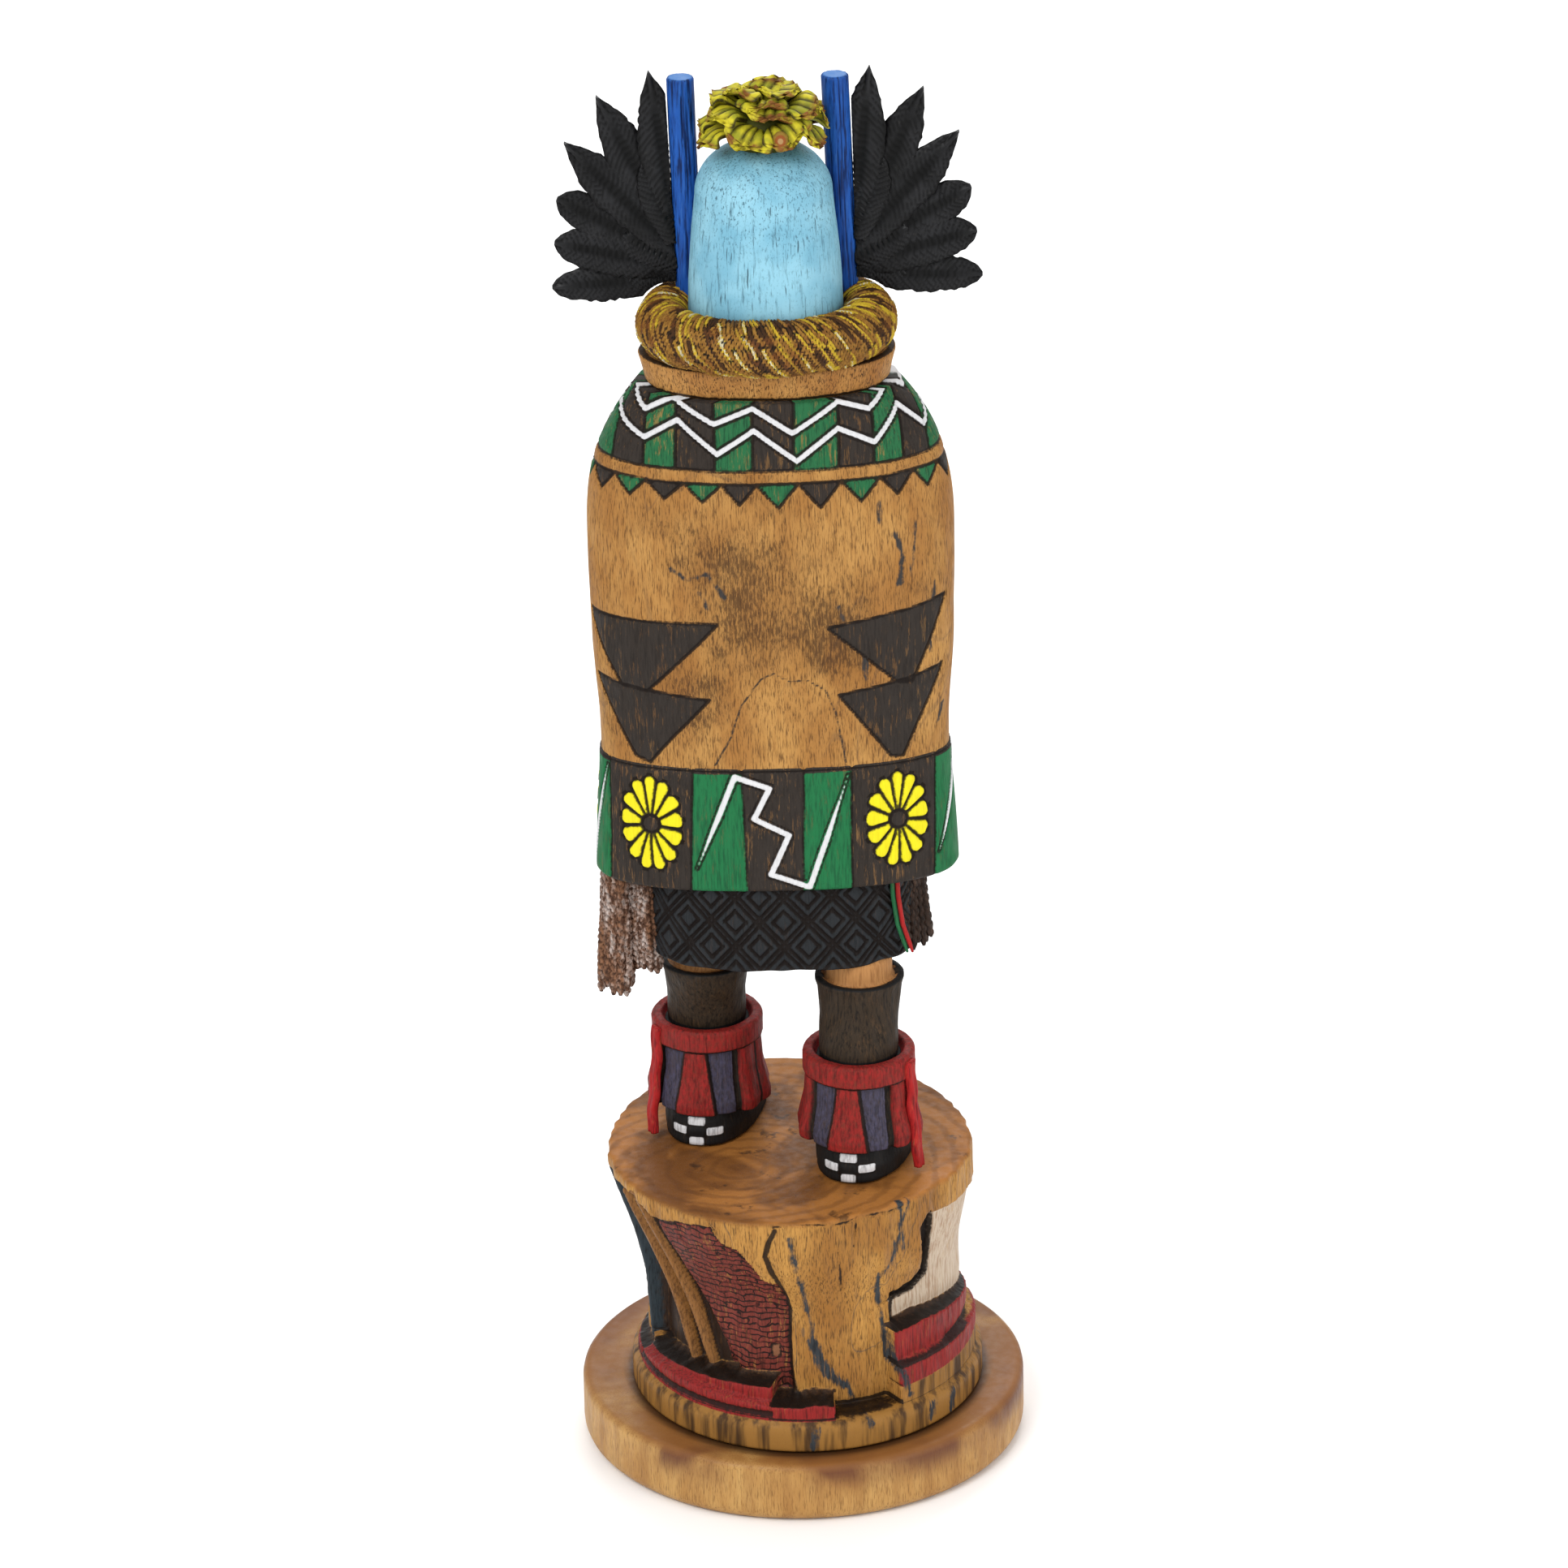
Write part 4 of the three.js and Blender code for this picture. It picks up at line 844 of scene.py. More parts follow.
# Each pole and the post: foot, head, half width
POLES = [((-136, 0.22), (-158, 0.92), 0.95), ((-128, 0.26), (-150, 0.95), 0.95)]
POST = ((-170, 0.2), (-176, 0.92), 1.3)
SPALT_STREAKS = [
    ([(-90.6, 0.93), (-90, 0.735), (-88.8, 0.547), (-88.2, 0.43), (-85.6, 0.345), (-81.8, 0.26),
      (-75.6, 0.21),
      (-71.6, 0.1)], 0.42),
    ([(-88.4, 0.43), (-86, 0.345), (-82, 0.262), (-77, 0.22)], 0.85),
    ([(-52.4, 0.995), (-53.2, 0.863), (-58, 0.738), (-63, 0.68), (-63, 0.503), (-61.8, 0.383), (-60.4, 0.295),
      (-56.6, 0.165)], 0.45),
    ([(-48.8, 0.988), (-52.6, 0.912), (-52.2, 0.785)], 0.4),
    ([(-49, 0.1), (-50, 0.04)], 0.6), ([(-39, 0.09), (-40.5, 0.02)], 0.6), ([(-88, 0.1), (-89, 0.02)], 0.5),
]
CRACKS = [
    [(-66.4, 0.527), (-58, 0.562), (-48, 0.565)],
    [(-95.4, 0.98), (-88.6, 0.995), (-80.6, 0.985), (-72.8, 0.975), (-68.4, 0.99), (-61.4, 0.985),
     (-52.4, 0.975)],
    [(-116.2, 0.973), (-113.6, 0.93), (-113.8, 0.885), (-108.6, 0.833), (-105.2, 0.792)],
    [(-75.8, 0.85), (-76.2, 0.75), (-76.6, 0.66)], [(-68.6, 0.973), (-70.4, 0.865)],
]


def on_stump(points):
    return [(a * ARC, share * STUMP_HEIGHT) for a, share in points]


def stump_centre(share):
    lean = ease(share, 0.45, 1)
    return mix(0.9, -2.0, lean), mix(0.5, 1.5, lean)


def lip_reach(along_x, along_y, share, inset):
    """How far out the lip's outline is from the stump's middle, and the angle round the lip there."""
    x, y = stump_centre(share)
    wide, deep = LIP_HALF_WIDTH - inset, LIP_HALF_DEPTH - inset
    x, y = x - LIP_X, y - LIP_Y
    square = (along_x / wide) ** 2 + (along_y / deep) ** 2
    half = x * along_x / wide**2 + y * along_y / deep**2
    reach = (np.sqrt(half**2 - square * ((x / wide) ** 2 + (y / deep) ** 2 - 1)) - half) / square
    round_lip = np.degrees(np.arctan2((y + reach * along_y) / deep, (x + reach * along_x) / wide))
    return reach, np.where(round_lip > 100, round_lip - 360, round_lip)


def open_distance(u, v, points):
    return line_distance(u, v, on_stump(points))[0]


def stump_step(along_x, along_y, share, course, inset, paint_foot):
    """One step: distance outside its block, distance outside its paint, height over its tread, reach."""
    reach, round_lip = lip_reach(along_x, along_y, share, inset)
    angles, foot, tread = np.array(course).T
    high = np.interp(round_lip, angles, tread) * STUMP_HEIGHT
    low = np.interp(round_lip, angles, foot) * STUMP_HEIGHT
    v = share * STUMP_HEIGHT
    ends = np.maximum(angles[0] - round_lip, round_lip - angles[-1]) * ARC
    block = np.maximum(np.maximum(low - v, v - high), ends)
    paint = np.maximum(np.maximum(paint_foot * STUMP_HEIGHT - v, v - high), ends)
    return block, paint, v - high, reach


def masonry_lines(tree, wall):
    """Mortar lines on the painted wall, wavy and partly worn away."""
    lift = maths(tree, "ADD", field(tree, "v"), times(tree, grain(tree, 0.7, 160, 3.0), 4.2))
    slide = maths(tree, "ADD", field(tree, "u"), times(tree, grain(tree, 1, 700, 1.0), 2.4))
    place = put(tree, "ShaderNodeCombineXYZ", {0: slide, 1: lift}).outputs[0]
    courses = put(tree, "ShaderNodeTexBrick", {
        "Vector": place, "Color1": (0, 0, 0, 1), "Color2": (0.4, 0.4, 0.4, 1), "Mortar": (1, 1, 1, 1),
        "Scale": 1.0, "Mortar Size": 0.19, "Mortar Smooth": 0.3, "Brick Width": 4.4, "Row Height": 1.2,
    }, offset=0.4)
    fade = span(tree, grain(tree, 1, 420, 2.0), 0.34, 0.5, 0.45, 1.0)
    return times(tree, times(tree, courses.outputs["Fac"], wall), fade)


def stump_top(tree):
    """The end grain on the stump's top: warm, ringed and dotted."""
    cloud = grain(tree, 1, 62, 3.0, 0.55, 0.6)
    warm = blend(tree, span(tree, cloud, 0.4, 0.6), colour(180, 118, 56), colour(128, 80, 36))
    reach = out_from(tree, (1, 1.15, 0.0), (0.012, 0.012, 0))
    warp = grain(tree, 1, 70, 3.0)
    ring = maths(tree, "SINE", maths(tree, "ADD", times(tree, reach, 1500.0), times(tree, warp, 12.0)))
    warm = blend(tree, span(tree, ring, 0.0, 1.0, 0.0, 0.34), warm, colour(96, 58, 28))
    dots = grain(tree, 1, 190, 4.0, 0.65)
    return blend(tree, span(tree, dots, 0.6, 0.7, 0.0, 0.75), warm, colour(62, 40, 24))


def stump_material():
    material, tree = new_material("stump_carved_wood")
    under = use(tree, ROOT_WOOD, {"Light": colour(204, 150, 76), "Middle": colour(162, 110, 50),
                                  "Dark": colour(64, 42, 24), "Stain": colour(62, 64, 66), "Strokes": 0.8,
                                  "Spalt": 0.45})
    base = blend(tree, field(tree, "top"), under["Color"], stump_top(tree))
    flame = grain(tree, 0.1, 420, 3.0, 0.6)
    golden = blend(tree, span(tree, flame, 0.42, 0.66), colour(158, 112, 52), colour(74, 50, 26))
    base = blend(tree, field(tree, "lip"), base, golden)
    base = coat(tree, base, "plaster", colour(214, 194, 170), colour(158, 116, 82), Streaks=0.75,
                Wear=0.45)["Color"]
    base = coat(tree, base, "shade", colour(50, 33, 22), colour(24, 16, 11), Streaks=0.6, Wear=0.15)["Color"]
    wall = coat(tree, base, "masonry", colour(126, 54, 44), colour(70, 32, 25), Streaks=0.85, Wear=0.5)
    lines = masonry_lines(tree, wall["Mask"])
    base = blend(tree, times(tree, lines, 0.92), wall["Color"], colour(20, 11, 8))
    base = blend(tree, span(tree, field(tree, "window"), 0.15, -0.15), base, colour(140, 92, 64))
    for key, paint, shade, options in (
        ("poles", colour(150, 102, 54), colour(84, 54, 28), {"Streaks": 0.8, "Wear": 0.1}),
        ("post", colour(50, 60, 66), colour(22, 24, 26), {"Streaks": 0.8, "Wear": 0.2}),
        ("steps", colour(152, 38, 36), colour(76, 18, 18), {"Streaks": 0.8, "Wear": 0.22}),
        # Dark band along each step's top: the treads' dark wood, with painted shade between the courses.
        ("tread", colour(60, 39, 24), colour(26, 17, 11), {"Streaks": 0.6, "Wear": 0.1}),
        ("spalt", colour(58, 62, 66), colour(28, 28, 30),
         {"Streaks": 0.8, "Wear": 0.5, "Edge": 0.35, "Jitter": 1.3}),
    ):
        base = coat(tree, base, key, paint, shade, **options)["Color"]
    base = burnt(tree, base, "crack", 0.1)
    base = burnt(tree, base, "burn", 0.3)
    height = maths(tree, "SUBTRACT", under["Height"], lines)
    finish_material(tree, base, height, strength=0.6, low=0.42, high=0.64, specular=0.16)
    return material


def make_stump():
    angle = round_angles(340, 60)
    degrees = np.degrees(angle)
    degrees = np.where(degrees > 100, degrees - 360, degrees)
    lip_top = LIP_HEIGHT / STUMP_HEIGHT
    low_rows, ledge_rows, rows, top_rows = 16, 6, 106, 12
    share = np.r_[0.0, 0.0, np.linspace(0.006, lip_top, low_rows), np.full(ledge_rows, lip_top),
                  np.linspace(lip_top + 0.002, 0.985, rows), 0.992, 0.997, 1.0, np.full(top_rows, 1.0)]
    inward = np.r_[0.1, 0.97, np.ones(low_rows + ledge_rows + rows), 0.996, 0.99, 0.978,
                   np.linspace(0.965, 0.03, top_rows)]
    share, inward = share[:, None], inward[:, None]
    u, v = degrees * ARC + 0 * share, share * STUMP_HEIGHT + 0 * degrees
    along_x = np.cos(angle) + 0 * share
    along_y = np.where(np.sin(angle) > 0, 1.06, 1.02) * np.sin(angle) + 0 * share
    uneven = 1 + 0.008 * np.sin(3 * angle + 1) + 0.006 * np.sin(5 * angle + 3 * share)
    ragged = 0.13 * rough(u, v, 0, 1.6, 31) + 0.06 * rough(u, v, 0, 0.6, 32)
    cut = {key: inside_distance(u, v, on_stump(shape)) + ragged for key, shape in (
        ("masonry", MASONRY), ("shade", SHADE), ("corner", CORNER), ("plaster", PLASTER), ("window", WINDOW))}
    waist = mix(WAIST_RADIUS, RIM_RADIUS, ease(share, 0.5, 0.97))
    fibre = 0.16 * rough(u / 0.5, v / 7, 0, 1, 41) + 0.3 * rough(u / 1.7, v / 12, 0, 1, 42)
    fibre = fibre + 0.2 * rough(u, v, 0, 6, 43)
    radius = (waist + 1.2 * (1 - ease(share, 0.72, 0.95))) * uneven + fibre - 0.25
    wall = (waist - 0.5) * uneven + 0.12 * rough(u, v, 0, 2, 44)
    inside = lambda distance: ease(distance, 0.3, -0.3)
    for key, depth in (("masonry", wall), ("plaster", wall), ("shade", wall - 1.9), ("corner", wall - 1.9)):
        radius = mix(radius, depth, inside(cut[key]))
    sunk = np.minimum(cut["masonry"], cut["shade"])
    marks = np.minimum.reduce([open_distance(u, v, mark) for mark in (NOTCH, SLAB_EDGE, SLAB_FOOT)])
    burn = np.minimum(np.abs(cut["corner"]), marks - 0.15)
    burn = np.minimum(burn, np.where((cut["shade"] < 0.2) | (cut["masonry"] < 0.2), np.abs(sunk), 9))
    burn = np.minimum(burn, np.abs(cut["window"]) + 0.1)
    outside = []
    for start, end, thick in [*POLES, POST]:
        gap = open_distance(u, v, [start, end])
        along = np.clip((share - start[1]) / (end[1] - start[1]), 0, 1)
        axis = mix(WAIST_RADIUS - 0.4, 34.0, along) - 1.0 * np.sin(np.pi * along)
        bark = 0.35 * np.abs(rough(gap / 0.4, v / 6, 0, 1, thick))
        swell = axis + np.sqrt(np.maximum(thick**2 - gap**2, 0)) - bark
        radius = mix(radius, np.maximum(radius, swell), ease(gap, thick + 0.25, thick - 0.3))
        outside.append(gap - thick)
    shafts, post = np.minimum(9, np.minimum(*outside[:-1])), outside[-1]
    red = tread = np.full(u.shape, 9.0)
    for course, inset, paint_foot in STEPS:
        block, paint, above, reach = stump_step(along_x, along_y, share, course, inset, paint_foot)
        face = reach + 0.12 * rough(u / 0.5, v / 4, 0, 1, 45) - 0.3 * ease(above, -0.6, 0)
        radius = np.maximum(radius, mix(radius, face, inside(block - 0.15)))
        red = np.minimum(red, paint)
        # The tread band: the step tops' dark wood and painted shade where one course meets the next.
        covered = np.maximum(block - 0.9, np.abs(above - 0.15) - 0.42)
        tread = np.where(above < -0.3, np.maximum(tread, -block), tread)
        tread = np.minimum(tread, covered)
        burn = np.where(block < -0.4, 9, burn)
        burn = np.minimum(burn, np.where(above > -0.5, np.abs(paint), 9))
        joint = np.abs(paint_foot * STUMP_HEIGHT + 0.3 - v) - (0.3 if inset > 2 else -0.1)
        burn = np.minimum(burn, np.where(paint < 0.6, joint, 9))
    step_block = np.minimum(red, tread)
    over = np.maximum(v - LIP_HEIGHT + LIP_ROUND, 0) / LIP_ROUND
    lip, _ = lip_reach(along_x, along_y, share, LIP_ROUND * (1 - np.sqrt(np.clip(1 - over**2, 0, 1))) + 0.12)
    lip = lip + 0.06 * rough(u, v, 0, 5, 47) * (v > 0.5)
    low = v <= LIP_HEIGHT + 1e-6
    wall_foot = radius[2 + low_rows + ledge_rows]
    radius = np.where(low, np.maximum(np.minimum(radius, lip + 2), lip), radius)
    ledge = np.linspace(0, 1, ledge_rows + 1)[1:, None]
    first = 2 + low_rows
    radius[first : first + ledge_rows] = mix(radius[first - 1][None, :],
                                             np.minimum(wall_foot, radius[first - 1])[None, :], ledge)
    radius = radius * inward
    on_top = inward < 0.97
    z = STUMP_BASE + v + np.where(on_top & (share > 0.5), 0.12 * rough(u * inward, inward * 30, 0, 3, 46), 0)
    x0, y0 = stump_centre(share)
    points = np.stack([x0 + radius * along_x, y0 + radius * along_y, z], -1)
    cracks = np.minimum.reduce([open_distance(u, v, crack) for crack in CRACKS])
    cracks = cracks + 0.3 * rough(u, v, 0, 1.2, 36)
    spalt = np.full(u.shape, 9.0)
    for streak, half in SPALT_STREAKS:
        spalt = np.minimum(spalt, open_distance(u, v, streak) - half * (1 + 0.6 * rough(v, 0, 0, 2, half)))
    spalt += 0.5 * rough(u / 0.3, v / 4, 0, 1, 35)
    cut_line = -0.3 * (1 - ease(cracks, 0.1, 0.4)) * (inward > 0.98)
    cut_line = cut_line - 0.3 * (1 - ease(np.abs(burn), 0.1, 0.5)) * (v > 7)
    wall_rows = slice(first + ledge_rows, first + ledge_rows + rows)
    points[wall_rows] = raised(points, cut_line)[wall_rows]
    burn = np.minimum(burn, np.where(low, 9, v - LIP_HEIGHT + 0.1))
    burn = np.minimum(burn, np.where(v < 0.5, 0.1, 9))
    burn = np.where(inward < 0.98, 9, burn)
    top = ease(share, 0.975, 1.0) + 0 * u
    on_lip = ease(v, LIP_HEIGHT + 1.4, LIP_HEIGHT + 0.2)
    on_lip = np.maximum(on_lip, ease(v, 10.6, 9.8) * ease(degrees, -57, -54))
    fields = {
        "masonry": np.maximum(np.maximum(cut["masonry"], -step_block), -shafts),
        "plaster": np.maximum(cut["plaster"], -step_block),
        "shade": np.maximum(np.maximum(np.minimum(cut["shade"], cut["corner"]), -shafts), -step_block),
        "poles": np.maximum(shafts, -step_block), "post": np.maximum(post, -step_block),
        "window": cut["window"],
        "steps": red, "tread": tread, "burn": burn, "spalt": np.where(inward < 0.9, 9, spalt),
        "crack": np.where(inward < 0.95, 9, cracks), "top": top, "lip": on_lip + 0 * u, "u": u, "v": v,
    }
    grid_object("stump_carving", points, stump_material(), fields)


# Legs and skirt


GAITER_HEM, CUFF_TOP, CUFF_HEIGHT = 6.9, 24.8, 4.5
GAITER_RADIUS, STOCKING_RADIUS, STOCKING_TOP, KNEE_RADIUS = 10.7, 7.6, 38.4, 6.3
TIE_RADIUS, TIE_ANGLE = 11.4, math.radians(28)
FEET = {"right": (11.9, -8.5, 12.3, -4.5, -14, 1), "left": (-17.3, 9.0, -17.3, 4.0, -14, -1)}
SHOE_HALF_WIDTH = 8.9


def leg_materials():
    cloth = {"Strokes": 0.4, "Spalt": 0.0, "Light": colour(130, 96, 62), "Middle": colour(96, 70, 46)}
    gaiter = layered_material(
        "painted_gaiter", cloth,
        [(None, colour(58, 46, 34), colour(24, 19, 15), {"Streaks": 0.9, "Wear": 0.25}),
         ("knee", colour(190, 136, 82), colour(130, 84, 46), {"Streaks": 0.6, "Wear": 0.2}),
         ("black", BLACK, BLACK_SHADE, {"Wear": 0.15}),
         ("purple", PURPLE, PURPLE_SHADE, {"Streaks": 0.6, "Wear": 0.22, "Jitter": 0.15}),
         ("red", RED, RED_SHADE, {"Streaks": 0.6, "Wear": 0.16, "Jitter": 0.15})],
        burn=0.3, strength=0.5)
    shoe = layered_material(
        "painted_shoe", cloth,
        [(None, BLACK, BLACK_SHADE, {"Streaks": 0.5, "Wear": 0.12}),
         ("white", WHITE, colour(120, 118, 120), {"Streaks": 0.65, "Wear": 0.1, "Jitter": 0.1})],
        burn=0.2, strength=0.4)
    return gaiter, shoe


def make_gaiter(name, foot, gaiter):
    x0, y0, knee_x, knee_y, yaw, side = foot
    heel = math.radians(-90) + math.radians(yaw)
    cuff_low = CUFF_TOP - CUFF_HEIGHT
    lower = [(GAITER_HEM + 0.2, 8.5), (GAITER_HEM, 11.0), (GAITER_HEM + 0.3, 11.5), (GAITER_HEM + 2, 11.7),
             (14.8, 10.6),
             (cuff_low - 0.1, 10.4), (cuff_low, 10.75), (cuff_low + 0.6, 10.9), (CUFF_TOP - 0.6, 10.85),
             (CUFF_TOP, 10.4),
             (CUFF_TOP, 8.9), (23.4, 8.2)]
    upper = [(23.2, 7.4), (23.8, STOCKING_RADIUS), (31, 7.6), (36.4, 8.1), (STOCKING_TOP - 0.3, 8.65),
             (STOCKING_TOP, 8.5),
             (STOCKING_TOP, 7.2), (38.0, 6.6), (38.6, KNEE_RADIUS), (SKIRT_HEM - 0.3, KNEE_RADIUS),
             (SKIRT_HEM + 2, 4.5)]
    low_rows, high_rows = 76, 40
    level_low, radius_low = along_profile(lower, low_rows)
    level_high, radius_high = along_profile(upper, high_rows)
    level, radius = np.vstack([level_low, level_high]), np.vstack([radius_low, radius_high])
    part = np.r_[np.full(low_rows, 1.0), np.full(high_rows, -1.0)][:, None]
    angle = round_angles(190, 54)
    off = np.degrees(np.arctan2(np.sin(angle - heel), np.cos(angle - heel)))
    out = np.abs(off)
    low = 1 - (level - GAITER_HEM) / (cuff_low - GAITER_HEM)
    arc = GAITER_RADIUS * math.pi / 180
    below = level - cuff_low + 0 * out
    stem = np.maximum((out - mix(12, 21, low)) * arc, below)
    panel = np.maximum(np.maximum((mix(13, 22, low) - out), out - 44) * arc, below)
    gap = np.maximum(np.maximum(44 - out, out - 51) * arc, below)
    flap = np.maximum((51 - out) * arc, below)
    on_wall = ease(part, 0, 0.5) * ease(-below, -0.05, 0.25) * (radius > 9.5)
    recess = 0.65 * ease(-panel, -0.15, 0.15) + 1.3 * ease(-gap, -0.15, 0.15)
    folds = 0.45 * np.sin((out - 51) / 5.2) * ease(out, 50, 56) * (0.35 + 0.65 * low)
    flare = 0.35 * low * ease(out, 52, 70) + folds
    hand = 0.1 * rough(off * arc, level, 0, 3, side) + 0.05 * rough(off * arc / 0.5, level / 6, 0, 1, 3)
    radius = radius + (flare - recess) * on_wall + hand * ease(np.arange(low_rows + high_rows)[:, None], 2, 6)
    lean = ease(level, CUFF_TOP - 1.5, STOCKING_TOP)
    points = np.stack([mix(x0, knee_x, lean) + radius * np.cos(angle),
                       mix(y0, knee_y, lean) + radius * np.sin(angle),
                       up(level) + 0 * angle], -1)
    outer = np.where(part > 0, 0.0, 9.0) + 0 * off
    cuff = -below
    red = np.maximum(np.minimum(np.minimum(stem, cuff), flap), outer - 0.01)
    knee = np.where((part < 0) & (radius < 7.3), 37.0 - level, 9) + 0 * off
    rim_mark = np.where(part < 0, np.hypot(level - STOCKING_TOP, np.maximum(7.9 - radius, 0)) - 0.3, 9)
    black = np.minimum(np.maximum(gap, outer), rim_mark)
    # Painted shade: black inside the cuff's hollow top and on the stocking where it sinks into it.
    black = np.minimum(black, np.where((part > 0) & (radius < 8.8) & (level > 20), -1, 9))
    black = np.minimum(black, np.where(part < 0, np.abs(level - 23.9) - 0.7, 9))
    burn = np.minimum(np.minimum(np.abs(stem), np.abs(panel)), np.abs(below) + 0.05)
    burn = np.minimum(np.where(part > 0, burn, 9),
                      np.where(part > 0, np.abs((out - 77) * arc), 9) + np.where(below < 0, 0, 9))
    burn = np.minimum(burn, np.where(level < GAITER_HEM + 0.4, 0.1, 9))
    fields = {"red": red, "purple": np.maximum(panel, outer), "black": black, "knee": knee, "burn": burn}
    grid_object(f"gaiter_{name}", points, gaiter, fields)


def make_shoe(name, foot, shoe):
    x0, y0, turn = foot[0], foot[1], math.radians(foot[4])
    toe = np.array([-math.sin(turn), math.cos(turn)])
    stack = [(0.12, 0.9, 9.8, 21.6), (0.5, 1.0, 10.6, 22.4), (3.5, 1.03, 10.7, 22.4), (6.4, 0.97, 10.2, 20.8),
             (10.2, 0.8, 8.5, 13.4), (15.4, 0.5, 5.3, 4.5)]
    z, width, back, front = along_profile(stack, 46)
    around = round_angles(150, 50)
    px, py = loop(around, SHOE_HALF_WIDTH * width, (back + front) / 2, power=2.3)
    cx, cy = x0 + toe[0] * (front - back) / 2, y0 + toe[1] * (front - back) / 2
    c, s = math.cos(turn), math.sin(turn)
    points = np.stack([cx + px * c - py * s, cy + px * s + py * c, up(z) + 0 * px], -1)
    behind = py < 0
    white = np.full(px.shape, 9.0)
    for bx, bz, wide in ((0, 5.5, 1.75), (0, 1.35, 1.45), (-3.5, 3.4, 1.45), (3.5, 3.4, 1.45)):
        white = np.minimum(white, np.maximum(np.abs(px - bx) - wide, np.abs(z - bz) - 0.82))
    white = np.where(behind, white, 9)
    straps = np.minimum(np.abs(np.abs(px) - 1.75), np.minimum(np.abs(z - 4.45), np.abs(z - 2.35)))
    grid = np.where(behind & (np.abs(px) < 5.2), straps, 9)
    sole = np.abs(z - 0.9) + 0.15 * rough(px, z, 0, 2, 5) + np.where(behind & (np.abs(px) < 6), 9, 0)
    burn = np.minimum(grid + 0.1, sole)
    cut = -0.16 * (1 - ease(burn, 0.1, 0.35)) + 0.05 * rough(px, py, z, 1.5, 6)
    grid_object(f"shoe_{name}", raised(points, cut), shoe, {"white": white, "burn": burn})


def make_tie(name, foot, material):
    """The long red tie that hangs down the outside of the gaiter."""
    x0, y0, side = foot[0], foot[1], foot[5]
    level = np.linspace(CUFF_TOP - 1, 1.6, 60)[:, None]
    out = np.interp(level, [1.6, GAITER_HEM, CUFF_TOP * 0.6, CUFF_TOP - 1],
                    [1.2, 0.9, 0.0, -0.4]) + TIE_RADIUS
    angle = np.linspace(-np.pi, np.pi, 28, False)[None, :]
    wave = 0.3 * np.sin(level * 0.8)
    wide, deep = loop(angle, 1.35 - 0.2 * ease(level, 4, 0), 0.85, power=3)
    deep = out + deep - 0.25 * np.exp(-((wide / 0.35) ** 2)) * np.sign(deep)
    wide = wide + wave
    out_x, out_y = side * math.cos(TIE_ANGLE), -math.sin(TIE_ANGLE)
    points = np.stack([x0 + out_x * deep - out_y * wide, y0 + out_y * deep + out_x * wide,
                       up(level) + 0 * wide], -1)
    piece = grid_object(f"gaiter_tie_{name}", points, material, {})
    weld(piece)


def make_legs():
    gaiter, shoe = leg_materials()
    tie = layered_material("red_tie_paint", {"Strokes": 0.5},
                           [(None, RED, RED_SHADE, {"Streaks": 0.75, "Wear": 0.2})])
    for name, foot in FEET.items():
        make_gaiter(name, foot, gaiter)
        make_shoe(name, foot, shoe)
        make_tie(name, foot, tie)


LATTICE_S, LATTICE_H = 9.3, 10.6


def make_skirt():
    material = layered_material(
        "skirt_black_weave", {"Light": colour(150, 100, 56), "Middle": colour(110, 72, 42), "Spalt": 0.0},
        [(None, colour(40, 43, 46), colour(20, 22, 23), {"Streaks": 0.6, "Wear": 0.06})], burn=0.36,
        strength=0.3)
    hem = [(1.2, -8.0), (0.5, -1.6), (0.0, -0.7), (0.05, -0.3), (0.6, 0.0), (6, 0.2),
           (SHAWL_HEM + 3 - SKIRT_HEM, 0.5)]
    level, grow = along_profile(hem, 96)
    angle = round_angles(370, 60)
    x, y = loop(angle, 25.1 + grow, 13 + grow * 0.6, power=2.3)
    base = np.stack([SKIRT_X + x, y, up(SKIRT_HEM + level) + 0 * x], -1)
    s = arc_length(base, 185)
    h = level + 0 * s
    up_right = s / LATTICE_S + (h - 10.3) / LATTICE_H + 0.5
    down_right = s / LATTICE_S - (h - 10.3) / LATTICE_H + 0.5
    slope = 1 / math.hypot(1 / LATTICE_S, 1 / LATTICE_H)
    a, b = (np.abs(t - np.round(t)) for t in (up_right, down_right))
    double = np.minimum(np.abs(a - 0.07), np.abs(b - 0.07))
    inner = np.minimum(np.where(b > 0.22, np.abs(a - 0.28), 9), np.where(a > 0.22, np.abs(b - 0.28), 9))
    burn = np.minimum(double, inner) * slope + 0.05 * rough(s, h, 0, 1.2, 51)
    burn = np.where(y < 3, burn, 9)
    cut = -0.55 * (1 - ease(burn, 0.1, 0.45)) * ease(h, 0.3, 1.0) + 0.1 * rough(s, h, 0, 3, 52)
    points = raised(base, cut)
    points[..., 2] += 0.5 * rough(s, 0, 0, 3.5, 53) * (1 - ease(h, 0, 2))
    grid_object("skirt", points, material, {"burn": burn})


# Rods and wings


RODS = {"left": (-17, -17.8, -1), "right": (12, 10.6, 1)}


def rod_x(side, level):
    low, high, _ = RODS[side]
    return mix(low, high, (level - RUFF_LEVEL) / (ROD_TOP - RUFF_LEVEL))


def rod_material():
    material, tree = new_material("rod_blue_paint")
    streak = grain(tree, 0.08, 2100, 3.0, 0.65)
    cloud = grain(tree, 0.4, 130, 2.0)
    base = blend(tree, span(tree, cloud, 0.35, 0.68), colour(34, 92, 180), colour(24, 66, 142))
    base = blend(tree, span(tree, streak, 0.48, 0.66, 0, 0.8), base, colour(9, 24, 62))
    base = blend(tree, span(tree, streak, 0.44, 0.3, 0, 0.35), base, colour(70, 130, 204))
    # Painted highlight: the rod's flat top end is lighter blue.
    base = blend(tree, field(tree, "top"), base, colour(66, 126, 196))
    # Painted shade: the carved grooves are dark blue.
    base = blend(tree, times(tree, field(tree, "groove"), 0.85), base, colour(10, 26, 70))
    finish_material(tree, base, streak, strength=0.35, low=0.42, high=0.6)
    return material


